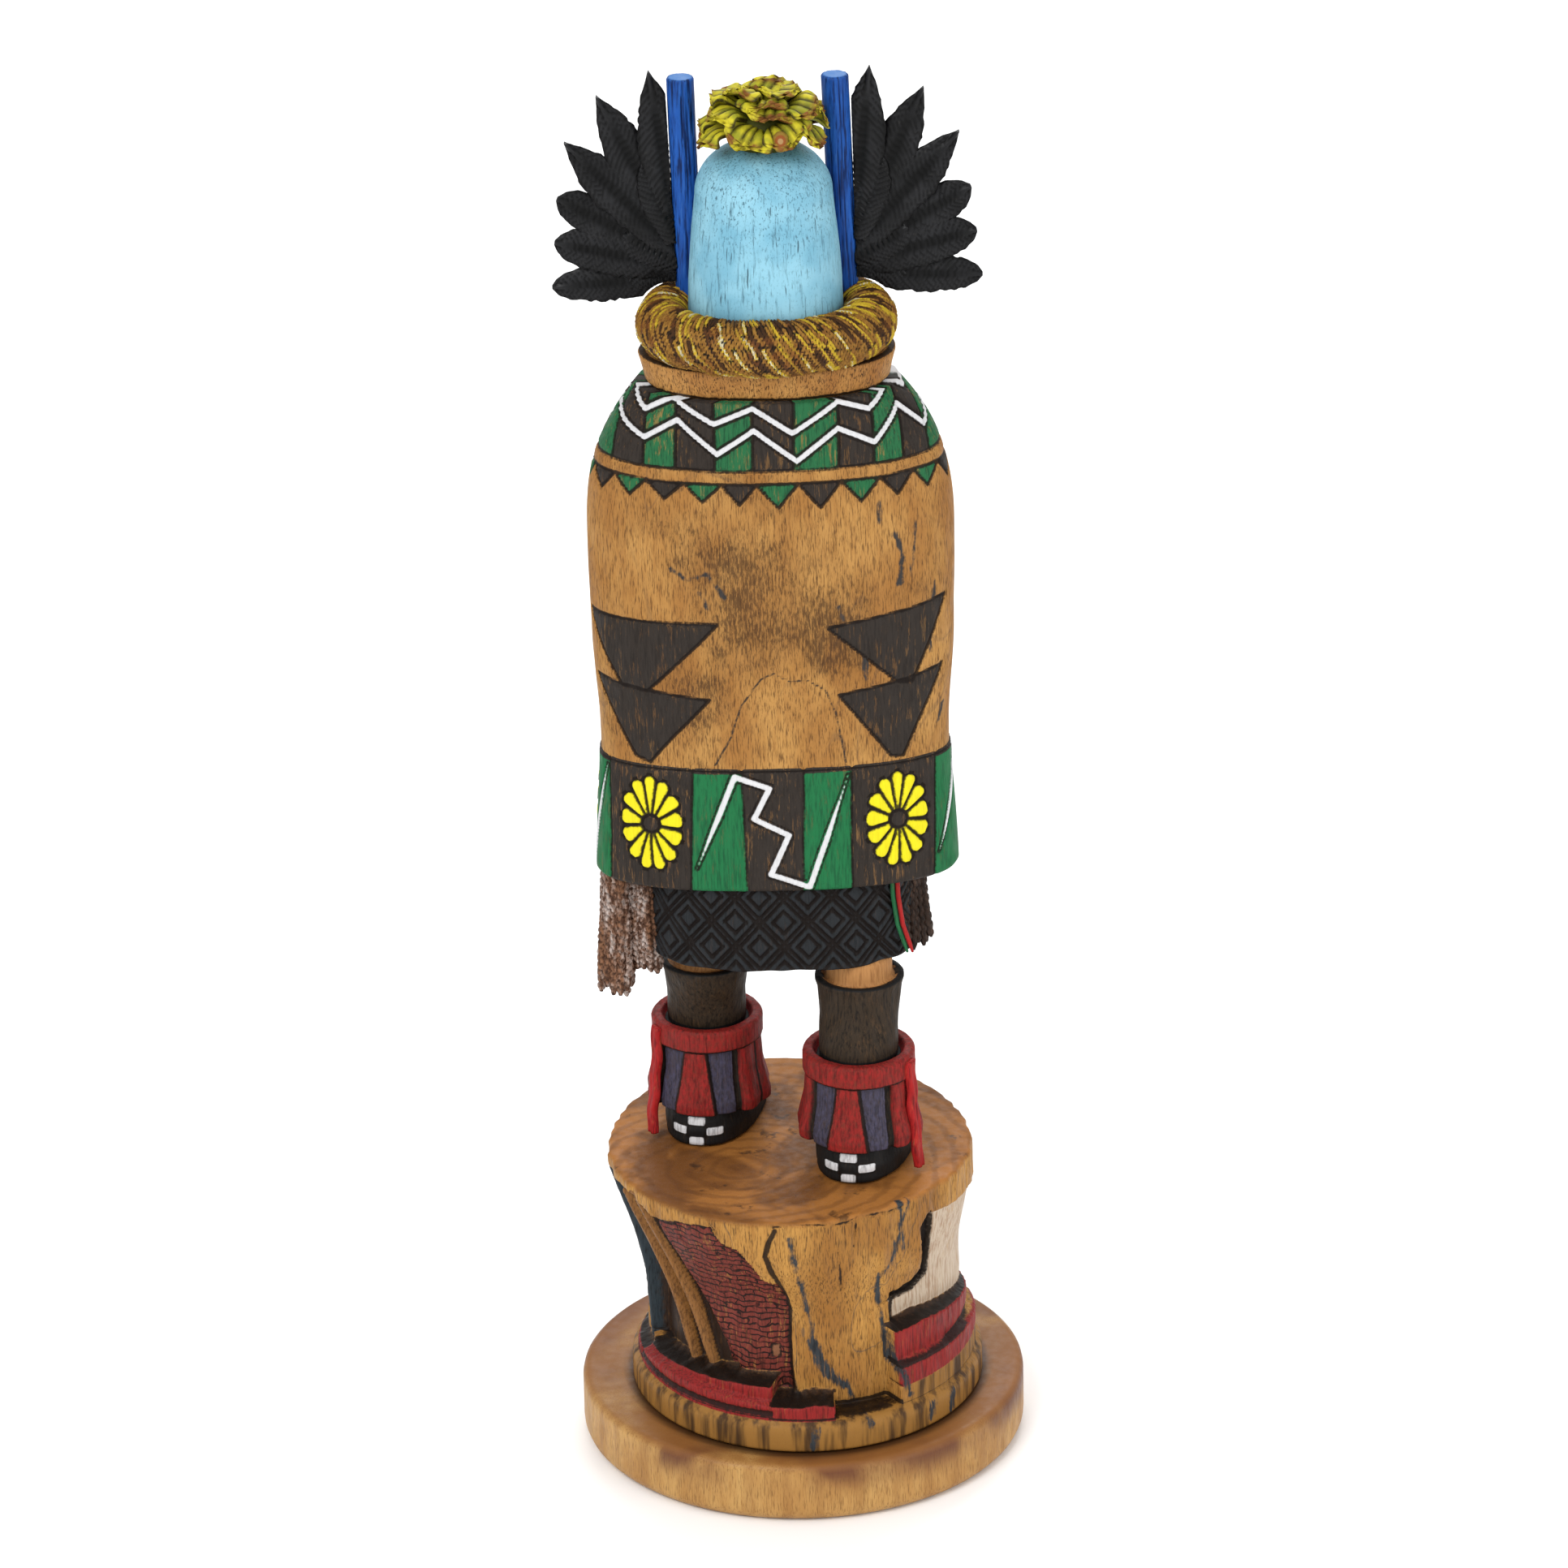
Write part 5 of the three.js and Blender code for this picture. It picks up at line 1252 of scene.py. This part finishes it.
def make_rods():
    material = rod_material()
    profile = [(RUFF_LEVEL, 0.4), (RUFF_LEVEL + 0.05, ROD_RADIUS), (ROD_TOP - 0.25, ROD_RADIUS),
               (ROD_TOP, ROD_RADIUS - 0.3), (ROD_TOP, 0.3)]
    angle = np.linspace(-np.pi, np.pi, 96, False)[None, :]
    s = angle * ROD_RADIUS
    for side, (_, _, sign) in RODS.items():
        level, radius = along_profile(profile, 120)
        ridge = 0.8 * rough(s / 0.28, level / 9, sign * 4, 1, 61)
        ridge = ridge + 0.5 * rough(s / 0.16, level / 4, sign * 4, 1, 62)
        wall = ease(radius, ROD_RADIUS - 0.5, ROD_RADIUS - 0.1)
        depth = np.clip(-ridge - 0.15, 0, 0.8) * wall
        radius = radius - 0.42 * depth
        x, y = rod_x(side, level) + radius * np.cos(angle), ROD_Y + radius * np.sin(angle)
        top = (1 - wall) * ease(level, ROD_TOP - 1, ROD_TOP - 0.2) + 0 * s
        fields = {"groove": ease(depth, 0.1, 0.5), "top": top}
        points = np.stack([x, y, up(level) + 0 * angle], -1)
        grid_object(f"rod_{side}_grooved", points, material, fields, node=f"rod_{side}")


WING_FOOT, WING_SPAN, WING_RISE, FEATHER_HALF_WIDTH = 174.9, 23.8, 41.7, 4.4
# Each feather: tip as shares of span and rise, root as a share of the rise, share of the width, blunt or not
FEATHERS = [(0.206, 1, 0.218, 1, False), (0.613, 0.885, 0.194, 1, False), (0.87, 0.679, 0.17, 1, False),
            (0.941, 0.415, 0.137, 1, True), (0.971, 0.216, 0.098, 0.98, True), (1, 0, 0.05, 0.84, True)]
COVERTS = [(0.261, 0.607, 0.218, 0.955, False), (0.433, 0.424, 0.17, 0.955, False),
           (0.437, 0.247, 0.122, 0.93, True),
           (0.433, 0.06, 0.065, 0.865, True)]
WING_TILT = {"left": 0.0, "right": 2.2}
ROOT_GAP, ROD_GAP, RUFF_GAP, RUFF_OUT, BLADE_SLANT = 1.7, 0.25, 0.95, 17.3, 0.13
WIDTH_PLACES = [0, 0.3, 0.58, 0.76, 0.88, 0.96, 1]
BLUNT_WIDTHS, POINTED_WIDTHS = [0.7, 0.9, 1, 0.88, 0.7, 0.42, 0.1], [0.7, 0.9, 1, 0.76, 0.46, 0.17, 0.03]


def feather_points(root, tip, half, blunt, thick, layer, seed):
    """One barbed feather in the wing's own plane: out from the head, depth, level."""
    rows, cols = 56, 38
    share = np.linspace(0, 1, rows)[:, None]
    turn = np.linspace(-np.pi, np.pi, cols, False)[None, :]
    ax, az = tip[0] - root[0], tip[1] - root[1]
    length = math.hypot(ax, az)
    ax, az = ax / length, az / length
    width = np.interp(share, WIDTH_PLACES, BLUNT_WIDTHS if blunt else POINTED_WIDTHS)
    across = np.sign(np.cos(turn)) * np.abs(np.cos(turn)) ** 0.8 * half * width
    face = np.sign(np.sin(turn)) * np.abs(np.sin(turn)) ** 0.75
    nick = 0.22 * rough(share * length / 0.9, np.sign(across) * 3, seed, 1, 71)
    nick = nick * ease(np.abs(np.cos(turn)), 0.8, 1)
    across = across * (1 + nick * 0.35)
    along = share * length
    rib = np.abs(across)
    barb = (along * 0.92 - rib * 0.75 + 0.35 * rough(along, across, seed, 2.5, 72)) / 1.05
    cut = 0.5 + 0.5 * np.cos(2 * np.pi * barb)
    cut = ease(cut, 0.35, 0.95) * ease(rib, 0.25, 0.6)
    middle = np.exp(-((rib / 0.34) ** 2))
    beside = np.exp(-(((rib - 0.55) / 0.22) ** 2))
    depth = mix(thick, 0.5, share**2.2) * (1 - 0.45 * (rib / half) ** 2)
    relief = 0.3 * middle - 0.25 * beside - 0.42 * cut
    y = face * np.maximum(depth + relief, 0.12) + layer + BLADE_SLANT * across
    edge = ease(rib / (half * width), 0.8, 1.0)
    shade = np.clip(0.75 * cut + 0.7 * beside + 0.8 * edge, 0, 1)
    return root[0] + ax * along - az * across, y, root[1] + az * along + ax * across, shade


def wing_material():
    material, tree = new_material("crow_wing_black")
    fine = grain(tree, 1, 900, 3.0)
    cloud = grain(tree, 1, 130, 2.0)
    base = blend(tree, span(tree, cloud, 0.35, 0.7), colour(42, 42, 44), colour(28, 28, 29))
    # Painted sheen: scattered grey flecks on the black stand for gloss highlights.
    base = blend(tree, span(tree, fine, 0.6, 0.76, 0, 0.5), base, colour(58, 56, 54))
    base = blend(tree, field(tree, "shade"), base, colour(4, 4, 4))
    finish_material(tree, base, fine, strength=0.3, low=0.32, high=0.46, specular=0.13)
    return material


def wing_place(name, root_out, px, py, pz):
    """Tilts a feather's points about the wing's foot and keeps them off the rod and the ruff."""
    tilt = math.radians(WING_TILT[name])
    dx, dz = px - root_out, pz - WING_FOOT
    px = root_out + dx * math.cos(tilt) - dz * math.sin(tilt)
    pz = WING_FOOT + dx * math.sin(tilt) + dz * math.cos(tilt)
    rod_out = np.abs(rod_x(name, pz) - FIGURE_X)
    px = np.maximum(px, rod_out + np.sqrt(np.maximum(ROD_RADIUS**2 - py**2, 0)) + ROD_GAP)
    ruff_x, ruff_z = px - RUFF_OUT, pz - RUFF_LEVEL
    near = np.maximum(np.hypot(ruff_x, ruff_z), 0.1)
    push = np.maximum(1, (RUFF_TUBE + RUFF_GAP) / near)
    return RUFF_OUT + ruff_x * push, RUFF_LEVEL + ruff_z * push


def make_wings():
    material = wing_material()
    for name, (foot_x, _, sign) in RODS.items():
        root_out = abs(foot_x - FIGURE_X) + ROOT_GAP
        for feathers, thick, layer, start in ((FEATHERS, 1.2, 1.0, 0), (COVERTS, 1.75, 0.6, 20)):
            for i, (across, rise, root, width, blunt) in enumerate(feathers):
                shift = layer * (0.35 if i % 2 else -0.35)
                tip = root_out + WING_SPAN * across, WING_FOOT + WING_RISE * rise
                foot = root_out, WING_FOOT + WING_RISE * root
                half = FEATHER_HALF_WIDTH * width
                px, py, pz, shade = feather_points(foot, tip, half, blunt, thick, shift, start + i + sign)
                px, pz = wing_place(name, root_out, px, py, pz)
                points = np.stack([FIGURE_X + sign * px, ROD_Y + py, up(pz)], -1)
                label, node = f"wing_{name}_feather_{start + i}", f"wing_{name}"
                weld(grid_object(label, points, material, {"shade": shade}, node=node))


# Flower tuft, tassel and fringe, placed by Geometry Nodes


def named_vector(tree, key):
    return put(tree, "GeometryNodeInputNamedAttribute", {"Name": key},
               data_type="FLOAT_VECTOR").outputs["Attribute"]


def copies_tree(name):
    """Geometry Nodes that put one copy of the pattern on each point and give it its material."""
    tree = bpy.data.node_groups.new(name, "GeometryNodeTree")
    for label, kind in (("Geometry", "NodeSocketGeometry"), ("Pattern", "NodeSocketObject"),
                        ("Swell", "NodeSocketFloat"), ("Paint", "NodeSocketMaterial")):
        tree.interface.new_socket(label, in_out="INPUT", socket_type=kind)
    tree.interface.new_socket("Geometry", in_out="OUTPUT", socket_type="NodeSocketGeometry")
    given = tree.nodes.new("NodeGroupInput").outputs
    source = put(tree, "GeometryNodeObjectInfo", {"Object": given["Pattern"]})
    swollen = put(tree, "ShaderNodeVectorMath", {0: named_vector(tree, "size"), "Scale": given["Swell"]},
                  operation="SCALE")
    copies = put(tree, "GeometryNodeInstanceOnPoints", {
        "Points": given["Geometry"], "Instance": source.outputs["Geometry"],
        "Rotation": named_vector(tree, "turn"), "Scale": swollen.outputs[0]})
    solid = put(tree, "GeometryNodeRealizeInstances", {"Geometry": copies.outputs[0]})
    painted = put(tree, "GeometryNodeSetMaterial", {"Geometry": solid.outputs[0], "Material": given["Paint"]})
    tree.links.new(painted.outputs[0], tree.nodes.new("NodeGroupOutput").inputs[0])
    return tree


def scatter(name, places, turns, sizes, pattern, material, node):
    """Puts one copy of a pattern mesh on each place, turned and sized, and bakes the result."""
    tree = copies_tree(name)
    mesh = bpy.data.meshes.new(name + "_places")
    mesh.from_pydata((np.array(places) * MM).tolist(), [], [])
    for key, rows in (("turn", turns), ("size", sizes)):
        values = np.array(rows, np.float32).ravel()
        mesh.attributes.new(key, "FLOAT_VECTOR", "POINT").data.foreach_set("vector", values)
    holder = linked(name + "_places", mesh)
    modifier = holder.modifiers.new("copies", "NODES")
    modifier.node_group = tree
    sockets = {item.name: item.identifier for item in tree.interface.items_tree if item.in_out == "INPUT"}
    modifier[sockets["Pattern"]] = pattern
    modifier[sockets["Swell"]] = 1.0
    modifier[sockets["Paint"]] = material
    bpy.context.view_layer.update()
    depsgraph = bpy.context.evaluated_depsgraph_get()
    baked = bpy.data.meshes.new_from_object(holder.evaluated_get(depsgraph), depsgraph=depsgraph)
    baked.name = name
    baked.polygons.foreach_set("use_smooth", np.ones(len(baked.polygons), bool))
    piece = linked(name, baked)
    for spent in (holder, pattern):
        bpy.data.objects.remove(spent)
    return settle(piece, node)


def pattern_object(name, points, fields):
    """A closed grid kept only as the pattern for copies."""
    piece = linked(name, grid_mesh(name, points, fields))
    weld(piece)
    return piece


PETAL_LENGTH, PETAL_HALF_WIDTH = 12.0, 5.2
# Each ring: how many, how steep, reach across, reach in depth, first angle
PETAL_RINGS = [(8, 0, 13.6, 10.8, 68), (6, 25, 12.4, 10.2, 30), (5, 50, 10.6, 9.8, 54), (2, 76, 9.0, 8.8, 40)]


def petal_pattern():
    share = np.linspace(0, 1, 32)[:, None]
    turn = np.linspace(-np.pi, np.pi, 52, False)[None, :]
    width = np.interp(share, [0, 0.3, 0.55, 0.75, 0.88, 0.96, 1], [0.25, 0.4, 0.72, 0.94, 1.0, 0.94, 0.72])
    side = np.sign(np.cos(turn)) * np.abs(np.cos(turn)) ** 0.85
    face = np.sign(np.sin(turn)) * np.abs(np.sin(turn)) ** 0.8
    ribs = np.cos(side * 5 * np.pi)
    scallop = 0.5 * ease(share, 0.6, 1) * (np.abs(np.cos(side * 2.5 * np.pi)) - 0.5)
    fold = -1.9 * side**2 * ease(share, 0.1, 0.8)
    along = 2.2 + share * (PETAL_LENGTH - 2.2) + scallop + fold * ease(share, 0.7, 1)
    curl = 1.1 * np.sin(share * 2.4) - 1.9 * ease(share, 0.6, 1.0) ** 1.5
    curl = curl + 0.75 * np.sin(side * 3.6) * ease(share, 0.45, 1)
    thick = mix(1.2, 0.55, share)
    relief = 0.2 * ribs * ease(share, 0.15, 0.6)
    cup = 0.9 * side**2 * ease(share, 0.3, 0.9)
    x = along
    y = side * PETAL_HALF_WIDTH * width
    z = face * thick + relief + curl + cup
    points = np.stack([x + 0 * turn, y, z + 0 * x], -1)
    groove = ease(-ribs, 0.1, 0.8) * ease(share, 0.2, 0.4) * (1 - 0.5 * ease(share, 0.9, 1.0))
    return pattern_object("petal", points, {"groove": groove, "along": share + 0 * turn,
                                            "edge": ease(share, 0.86, 1.0) + 0 * turn})


def petal_material():
    material, tree = new_material("petal_yellow_green")
    cloud = grain(tree, 1, 240, 3.0, 0.6)
    fine = grain(tree, 1, 900, 3.0, 0.65)
    base = blend(tree, span(tree, cloud, 0.38, 0.62), colour(220, 206, 50), colour(158, 158, 40))
    deep = maths(tree, "SUBTRACT", 1.0, field(tree, "along"))
    base = blend(tree, span(tree, deep, 0.35, 0.75), base, colour(86, 92, 26))
    rust = times(tree, field(tree, "edge"), span(tree, cloud, 0.42, 0.55))
    base = blend(tree, rust, base, colour(142, 90, 42))
    # Painted shade: the rib grooves are darkened almost to black.
    lines = times(tree, field(tree, "groove"), span(tree, fine, 0.3, 0.5, 0.5, 1.0))
    base = blend(tree, times(tree, lines, 0.95), base, colour(32, 21, 9))
    base = blend(tree, span(tree, fine, 0.64, 0.74, 0, 0.6), base, colour(70, 46, 20))
    finish_material(tree, base, fine, strength=0.5, low=0.5, high=0.7)
    return material


def bud_material():
    bud, tree = new_material("bud_orange")
    spot = field(tree, "spot")
    base = blend(tree, span(tree, spot, 0.45, 0.6), colour(150, 118, 48), colour(150, 84, 38))
    base = blend(tree, span(tree, spot, 0.8, 0.9), base, colour(176, 140, 92))
    finish_material(tree, base, spot)
    return bud


def make_petals(material):
    places, turns, sizes = [], [], []
    for ring, (count, steep, reach_x, reach_y, first) in enumerate(PETAL_RINGS):
        for i in range(count):
            chance = float(hashed(ring * 3.1, i * 1.7, 5))
            other = float(hashed(ring * 1.3, i * 2.9, 9))
            angle = math.radians(first + i * 360 / count + (chance - 0.5) * 18)
            reach = math.hypot(reach_x * math.cos(angle), reach_y * math.sin(angle)) * (0.93 + 0.07 * other)
            places.append((TUFT_X, TUFT_Y, up(TUFT_LEVEL + 0.8)))
            turns.append((math.radians((other - 0.5) * 44), -math.radians(steep + (chance - 0.5) * 16),
                          angle))
            sizes.append((reach / PETAL_LENGTH, 0.92 + 0.16 * chance, 0.9))
    scatter("flower_tuft_petals", places, turns, sizes, petal_pattern(), material,
            "flower_tuft")


def make_tuft():
    material = petal_material()
    make_petals(material)

    angle = round_angles(40, 40)
    z, radius = along_profile([(-4.2, 0.05), (-3.6, 0.6), (0, 1.0), (3.2, 0.8), (4.6, 0.4), (5.0, 0.05)], 40)
    x, y = loop(angle, 7.4 * radius, 6.2 * radius)
    points = np.stack([TUFT_X + x, TUFT_Y + y, up(TUFT_LEVEL) + z + 0 * x], -1)
    # The core takes a flat share of the groove darkening: painted shade inside the tuft.
    fields = {"groove": 0.4, "along": 0.1, "edge": 0.0}
    grid_object("flower_tuft_core", points, material, fields, node="flower_tuft")

    z, radius = along_profile([(-1.9, 0.05), (-1.6, 0.6), (0, 1.0), (1.2, 0.9), (1.9, 0.45), (2.1, 0.05)], 30)
    x, y = 1.5 * radius * np.cos(angle), 1.4 * radius * np.sin(angle)
    spot = np.exp(-(x**2 / 1.6 + (z - 0.6) ** 2 / 1.8)) * (y < 0)
    points = np.stack([0.4 + x, TUFT_Y - 9.3 + y, up(TUFT_LEVEL) + 0.8 + z + 0 * x], -1)
    grid_object("flower_tuft_bud", points, bud_material(), {"spot": spot}, node="flower_tuft")


CORD_LENGTH = 30.0


def cord_pattern(twists):
    """A hanging cord cut with slanted grooves, frayed at its lower end."""
    share = np.linspace(0, 1, 60)[:, None]
    turn = np.linspace(-np.pi, np.pi, 12, False)[None, :]
    phase = turn + share * twists * 2 * np.pi
    groove = ease(np.cos(phase * 2), 0.1, 0.95)
    taper = np.interp(share, [0, 0.03, 0.1, 1], [0.35, 0.75, 1.0, 0.9])
    r = taper * (1 - 0.34 * groove + 0.1 * rough(turn * 2, share * 20, 0, 1, 81))
    sway = 0.25 * np.sin(share * 5)
    points = np.stack([r * np.cos(turn) + sway, r * np.sin(turn), CORD_LENGTH * share + 0 * turn], -1)
    return pattern_object("cord", points, {"groove": groove})


def cord_material(name, light, dark, pale):
    material, tree = new_material(name)
    fine = grain(tree, 0.35, 1300, 3.0, 0.7)
    cloud = grain(tree, 0.4, 190, 3.0, 0.6)
    base = blend(tree, span(tree, fine, 0.4, 0.66), light, dark)
    wash = times(tree, span(tree, cloud, 0.45, 0.58), span(tree, fine, 0.6, 0.35))
    base = blend(tree, times(tree, wash, 0.75), base, pale)
    # Painted shade: the grooves between the plies are darker.
    base = blend(tree, times(tree, field(tree, "groove"), 0.75), base, colour(46, 30, 20))
    finish_material(tree, base, fine, strength=0.5)
    return material


HANGING_TOP = 62.5
# Each bundle: middle, lowest end, half width, half depth, how far it spreads, how many cords
TASSEL_BUNDLES = [(-33.6, 33.6, 3.1, 4.0, -0.9, 14), (-29.0, 37.5, 2.5, 3.6, 0.9, 10)]


def leaning(lean, spin):
    """Turns a copy round its own axis and then tips its upper end to the left by lean."""
    return -lean * math.sin(spin), -lean * math.cos(spin), spin


def make_tassel():
    tassel = cord_material("tassel_brown_cords", colour(150, 106, 78), colour(78, 50, 36),
                           colour(216, 206, 200))
    places, turns, sizes = [], [], []
    for x0, low, wide, deep, spread, count in TASSEL_BUNDLES:
        for i in range(count):
            angle = 2 * math.pi * i / count + x0
            chance = float(hashed(x0, i, 3))
            foot = low + 2.6 * chance
            length = HANGING_TOP - foot
            lean = spread / length + 0.03 * math.cos(angle)
            out = x0 + (wide - 1) * math.cos(angle) + lean * length
            places.append((out, (deep - 1) * math.sin(angle) - 1, up(foot)))
            turns.append(leaning(lean, chance * 6))
            sizes.append((1.0, 1.0, length / CORD_LENGTH))
    scatter("waist_tassel", places, turns, sizes, cord_pattern(9), tassel, "carved_figure")


FRINGE_CORDS, FRINGE_FOOT, FRINGE_START, FRINGE_DEPTH = 12, 42.4, (20.7, -5.6), (4.9, 4.4)


def make_fringe():
    fringe = cord_material("fringe_dark_cords", colour(62, 46, 37), colour(26, 20, 17), colour(92, 68, 54))
    places, turns, sizes = [], [], []
    for i in range(FRINGE_CORDS):
        share = i / (FRINGE_CORDS - 1)
        foot = FRINGE_FOOT + 2.5 * float(hashed(i, 2, 7))
        lean = 0.02 + 0.1 * share
        x = FRINGE_START[0] + FRINGE_DEPTH[0] * share + lean * 6
        places.append((x, FRINGE_START[1] + FRINGE_DEPTH[1] * share + 0.9 * (i % 2), up(foot)))
        turns.append(leaning(lean, float(hashed(i, 2, 7)) * 6))
        sizes.append((0.85, 0.85, (HANGING_TOP - foot) / CORD_LENGTH))
    scatter("hip_fringe", places, turns, sizes, cord_pattern(5), fringe, "carved_figure")


RIBBON_TOP, RIBBON_FOOT = 61.5, 44.2


def make_ribbon(name, paint, shade, shift):
    cloth = layered_material(f"ribbon_{name}_paint", {"Strokes": 0.3}, [(None, paint, shade, {"Wear": 0.1})])
    share = np.linspace(0, 1, 80)[:, None]
    angle = np.linspace(-np.pi, np.pi, 24, False)[None, :]
    level = mix(RIBBON_TOP, RIBBON_FOOT, share)
    middle = np.interp(share, [0, 0.3, 0.65, 1], [19.2, 19.4, 20.2, 22.0]) + shift
    depth = np.interp(share, [0, 0.5, 1], [-8.9, -8.7, -7.9])
    taper = np.interp(share, [0, 0.9, 1], [0.45, 0.45, 0.25])
    x, y = middle + taper * np.cos(angle), depth + 0.6 * np.sin(angle) + 0 * share
    points = np.stack([x, y, up(level) + 0 * angle], -1)
    weld(grid_object(f"ribbon_{name}", points, cloth, {}))


def make_hangings():
    make_tassel()
    make_fringe()
    make_ribbon("red", RED, RED_SHADE, 0.5)
    make_ribbon("green", GREEN, GREEN_SHADE, -0.5)


make_disc()
make_stump()
make_legs()
make_skirt()
make_shawl_upper()
make_shawl_hem()
make_head()
make_collar()
make_ruff()
make_rods()
make_wings()
make_tuft()
make_hangings()


# Camera, light and floor


FOCAL_PIXELS, FRAME_PIXELS = 8800.0, 1932.0
CAMERA_PITCH, CAMERA_ROLL = math.radians(23.6), math.radians(1.2)
CAMERA_PLACE = (-1.4, -1246.6, 681.2)


def make_camera():
    camera = bpy.data.cameras.new("camera")
    camera.sensor_width = 36.0
    camera.lens = FOCAL_PIXELS / FRAME_PIXELS * camera.sensor_width
    camera.clip_start, camera.clip_end = 0.05, 20.0
    ahead = Vector((0, math.cos(CAMERA_PITCH), -math.sin(CAMERA_PITCH)))
    right, above = Vector((1, 0, 0)), Vector((0, math.sin(CAMERA_PITCH), math.cos(CAMERA_PITCH)))
    c, s = math.cos(CAMERA_ROLL), math.sin(CAMERA_ROLL)
    right, above = right * c - above * s, right * s + above * c
    turn = Matrix((right, above, -ahead)).transposed().to_4x4()
    holder = linked("camera", camera)
    holder.matrix_world = Matrix.Translation(Vector(CAMERA_PLACE) * MM) @ turn
    bpy.context.scene.camera = holder


def make_light(name, place, size, power, aim=(0, 0, 0.14)):
    lamp = bpy.data.lights.new(name, "AREA")
    lamp.shape, lamp.size, lamp.energy = "DISK", size, power
    holder = linked(name, lamp)
    holder.location = place
    holder.rotation_mode = "QUATERNION"
    holder.rotation_quaternion = (Vector(aim) - Vector(place)).to_track_quat("-Z", "Y")


def make_stage():
    world = bpy.data.worlds.new("studio")
    world.use_nodes = True
    world.node_tree.nodes["Background"].inputs["Color"].default_value = (1, 1, 1, 1)
    world.node_tree.nodes["Background"].inputs["Strength"].default_value = 0.8
    bpy.context.scene.world = world
    bpy.context.scene.view_settings.view_transform = "Standard"
    make_light("key", (-0.5, -0.9, 1.0), 0.7, 9.5)
    make_light("fill", (0.9, -0.7, 0.5), 0.9, 4)
    make_light("rim", (0.1, 0.9, 1.0), 0.8, 7)
    mesh = bpy.data.meshes.new("floor")
    mesh.from_pydata([(-6, -6, 0), (6, -6, 0), (6, 6, 0), (-6, 6, 0)], [], [(0, 1, 2, 3)])
    pale, tree = new_material("pale_floor")
    surface = put(tree, "ShaderNodeBsdfPrincipled", {"Base Color": (0.96, 0.96, 0.96, 1), "Roughness": 0.8})
    put(tree, "ShaderNodeOutputMaterial", {"Surface": surface.outputs[0]})
    mesh.materials.append(pale)
    linked("floor", mesh)


make_camera()
make_stage()
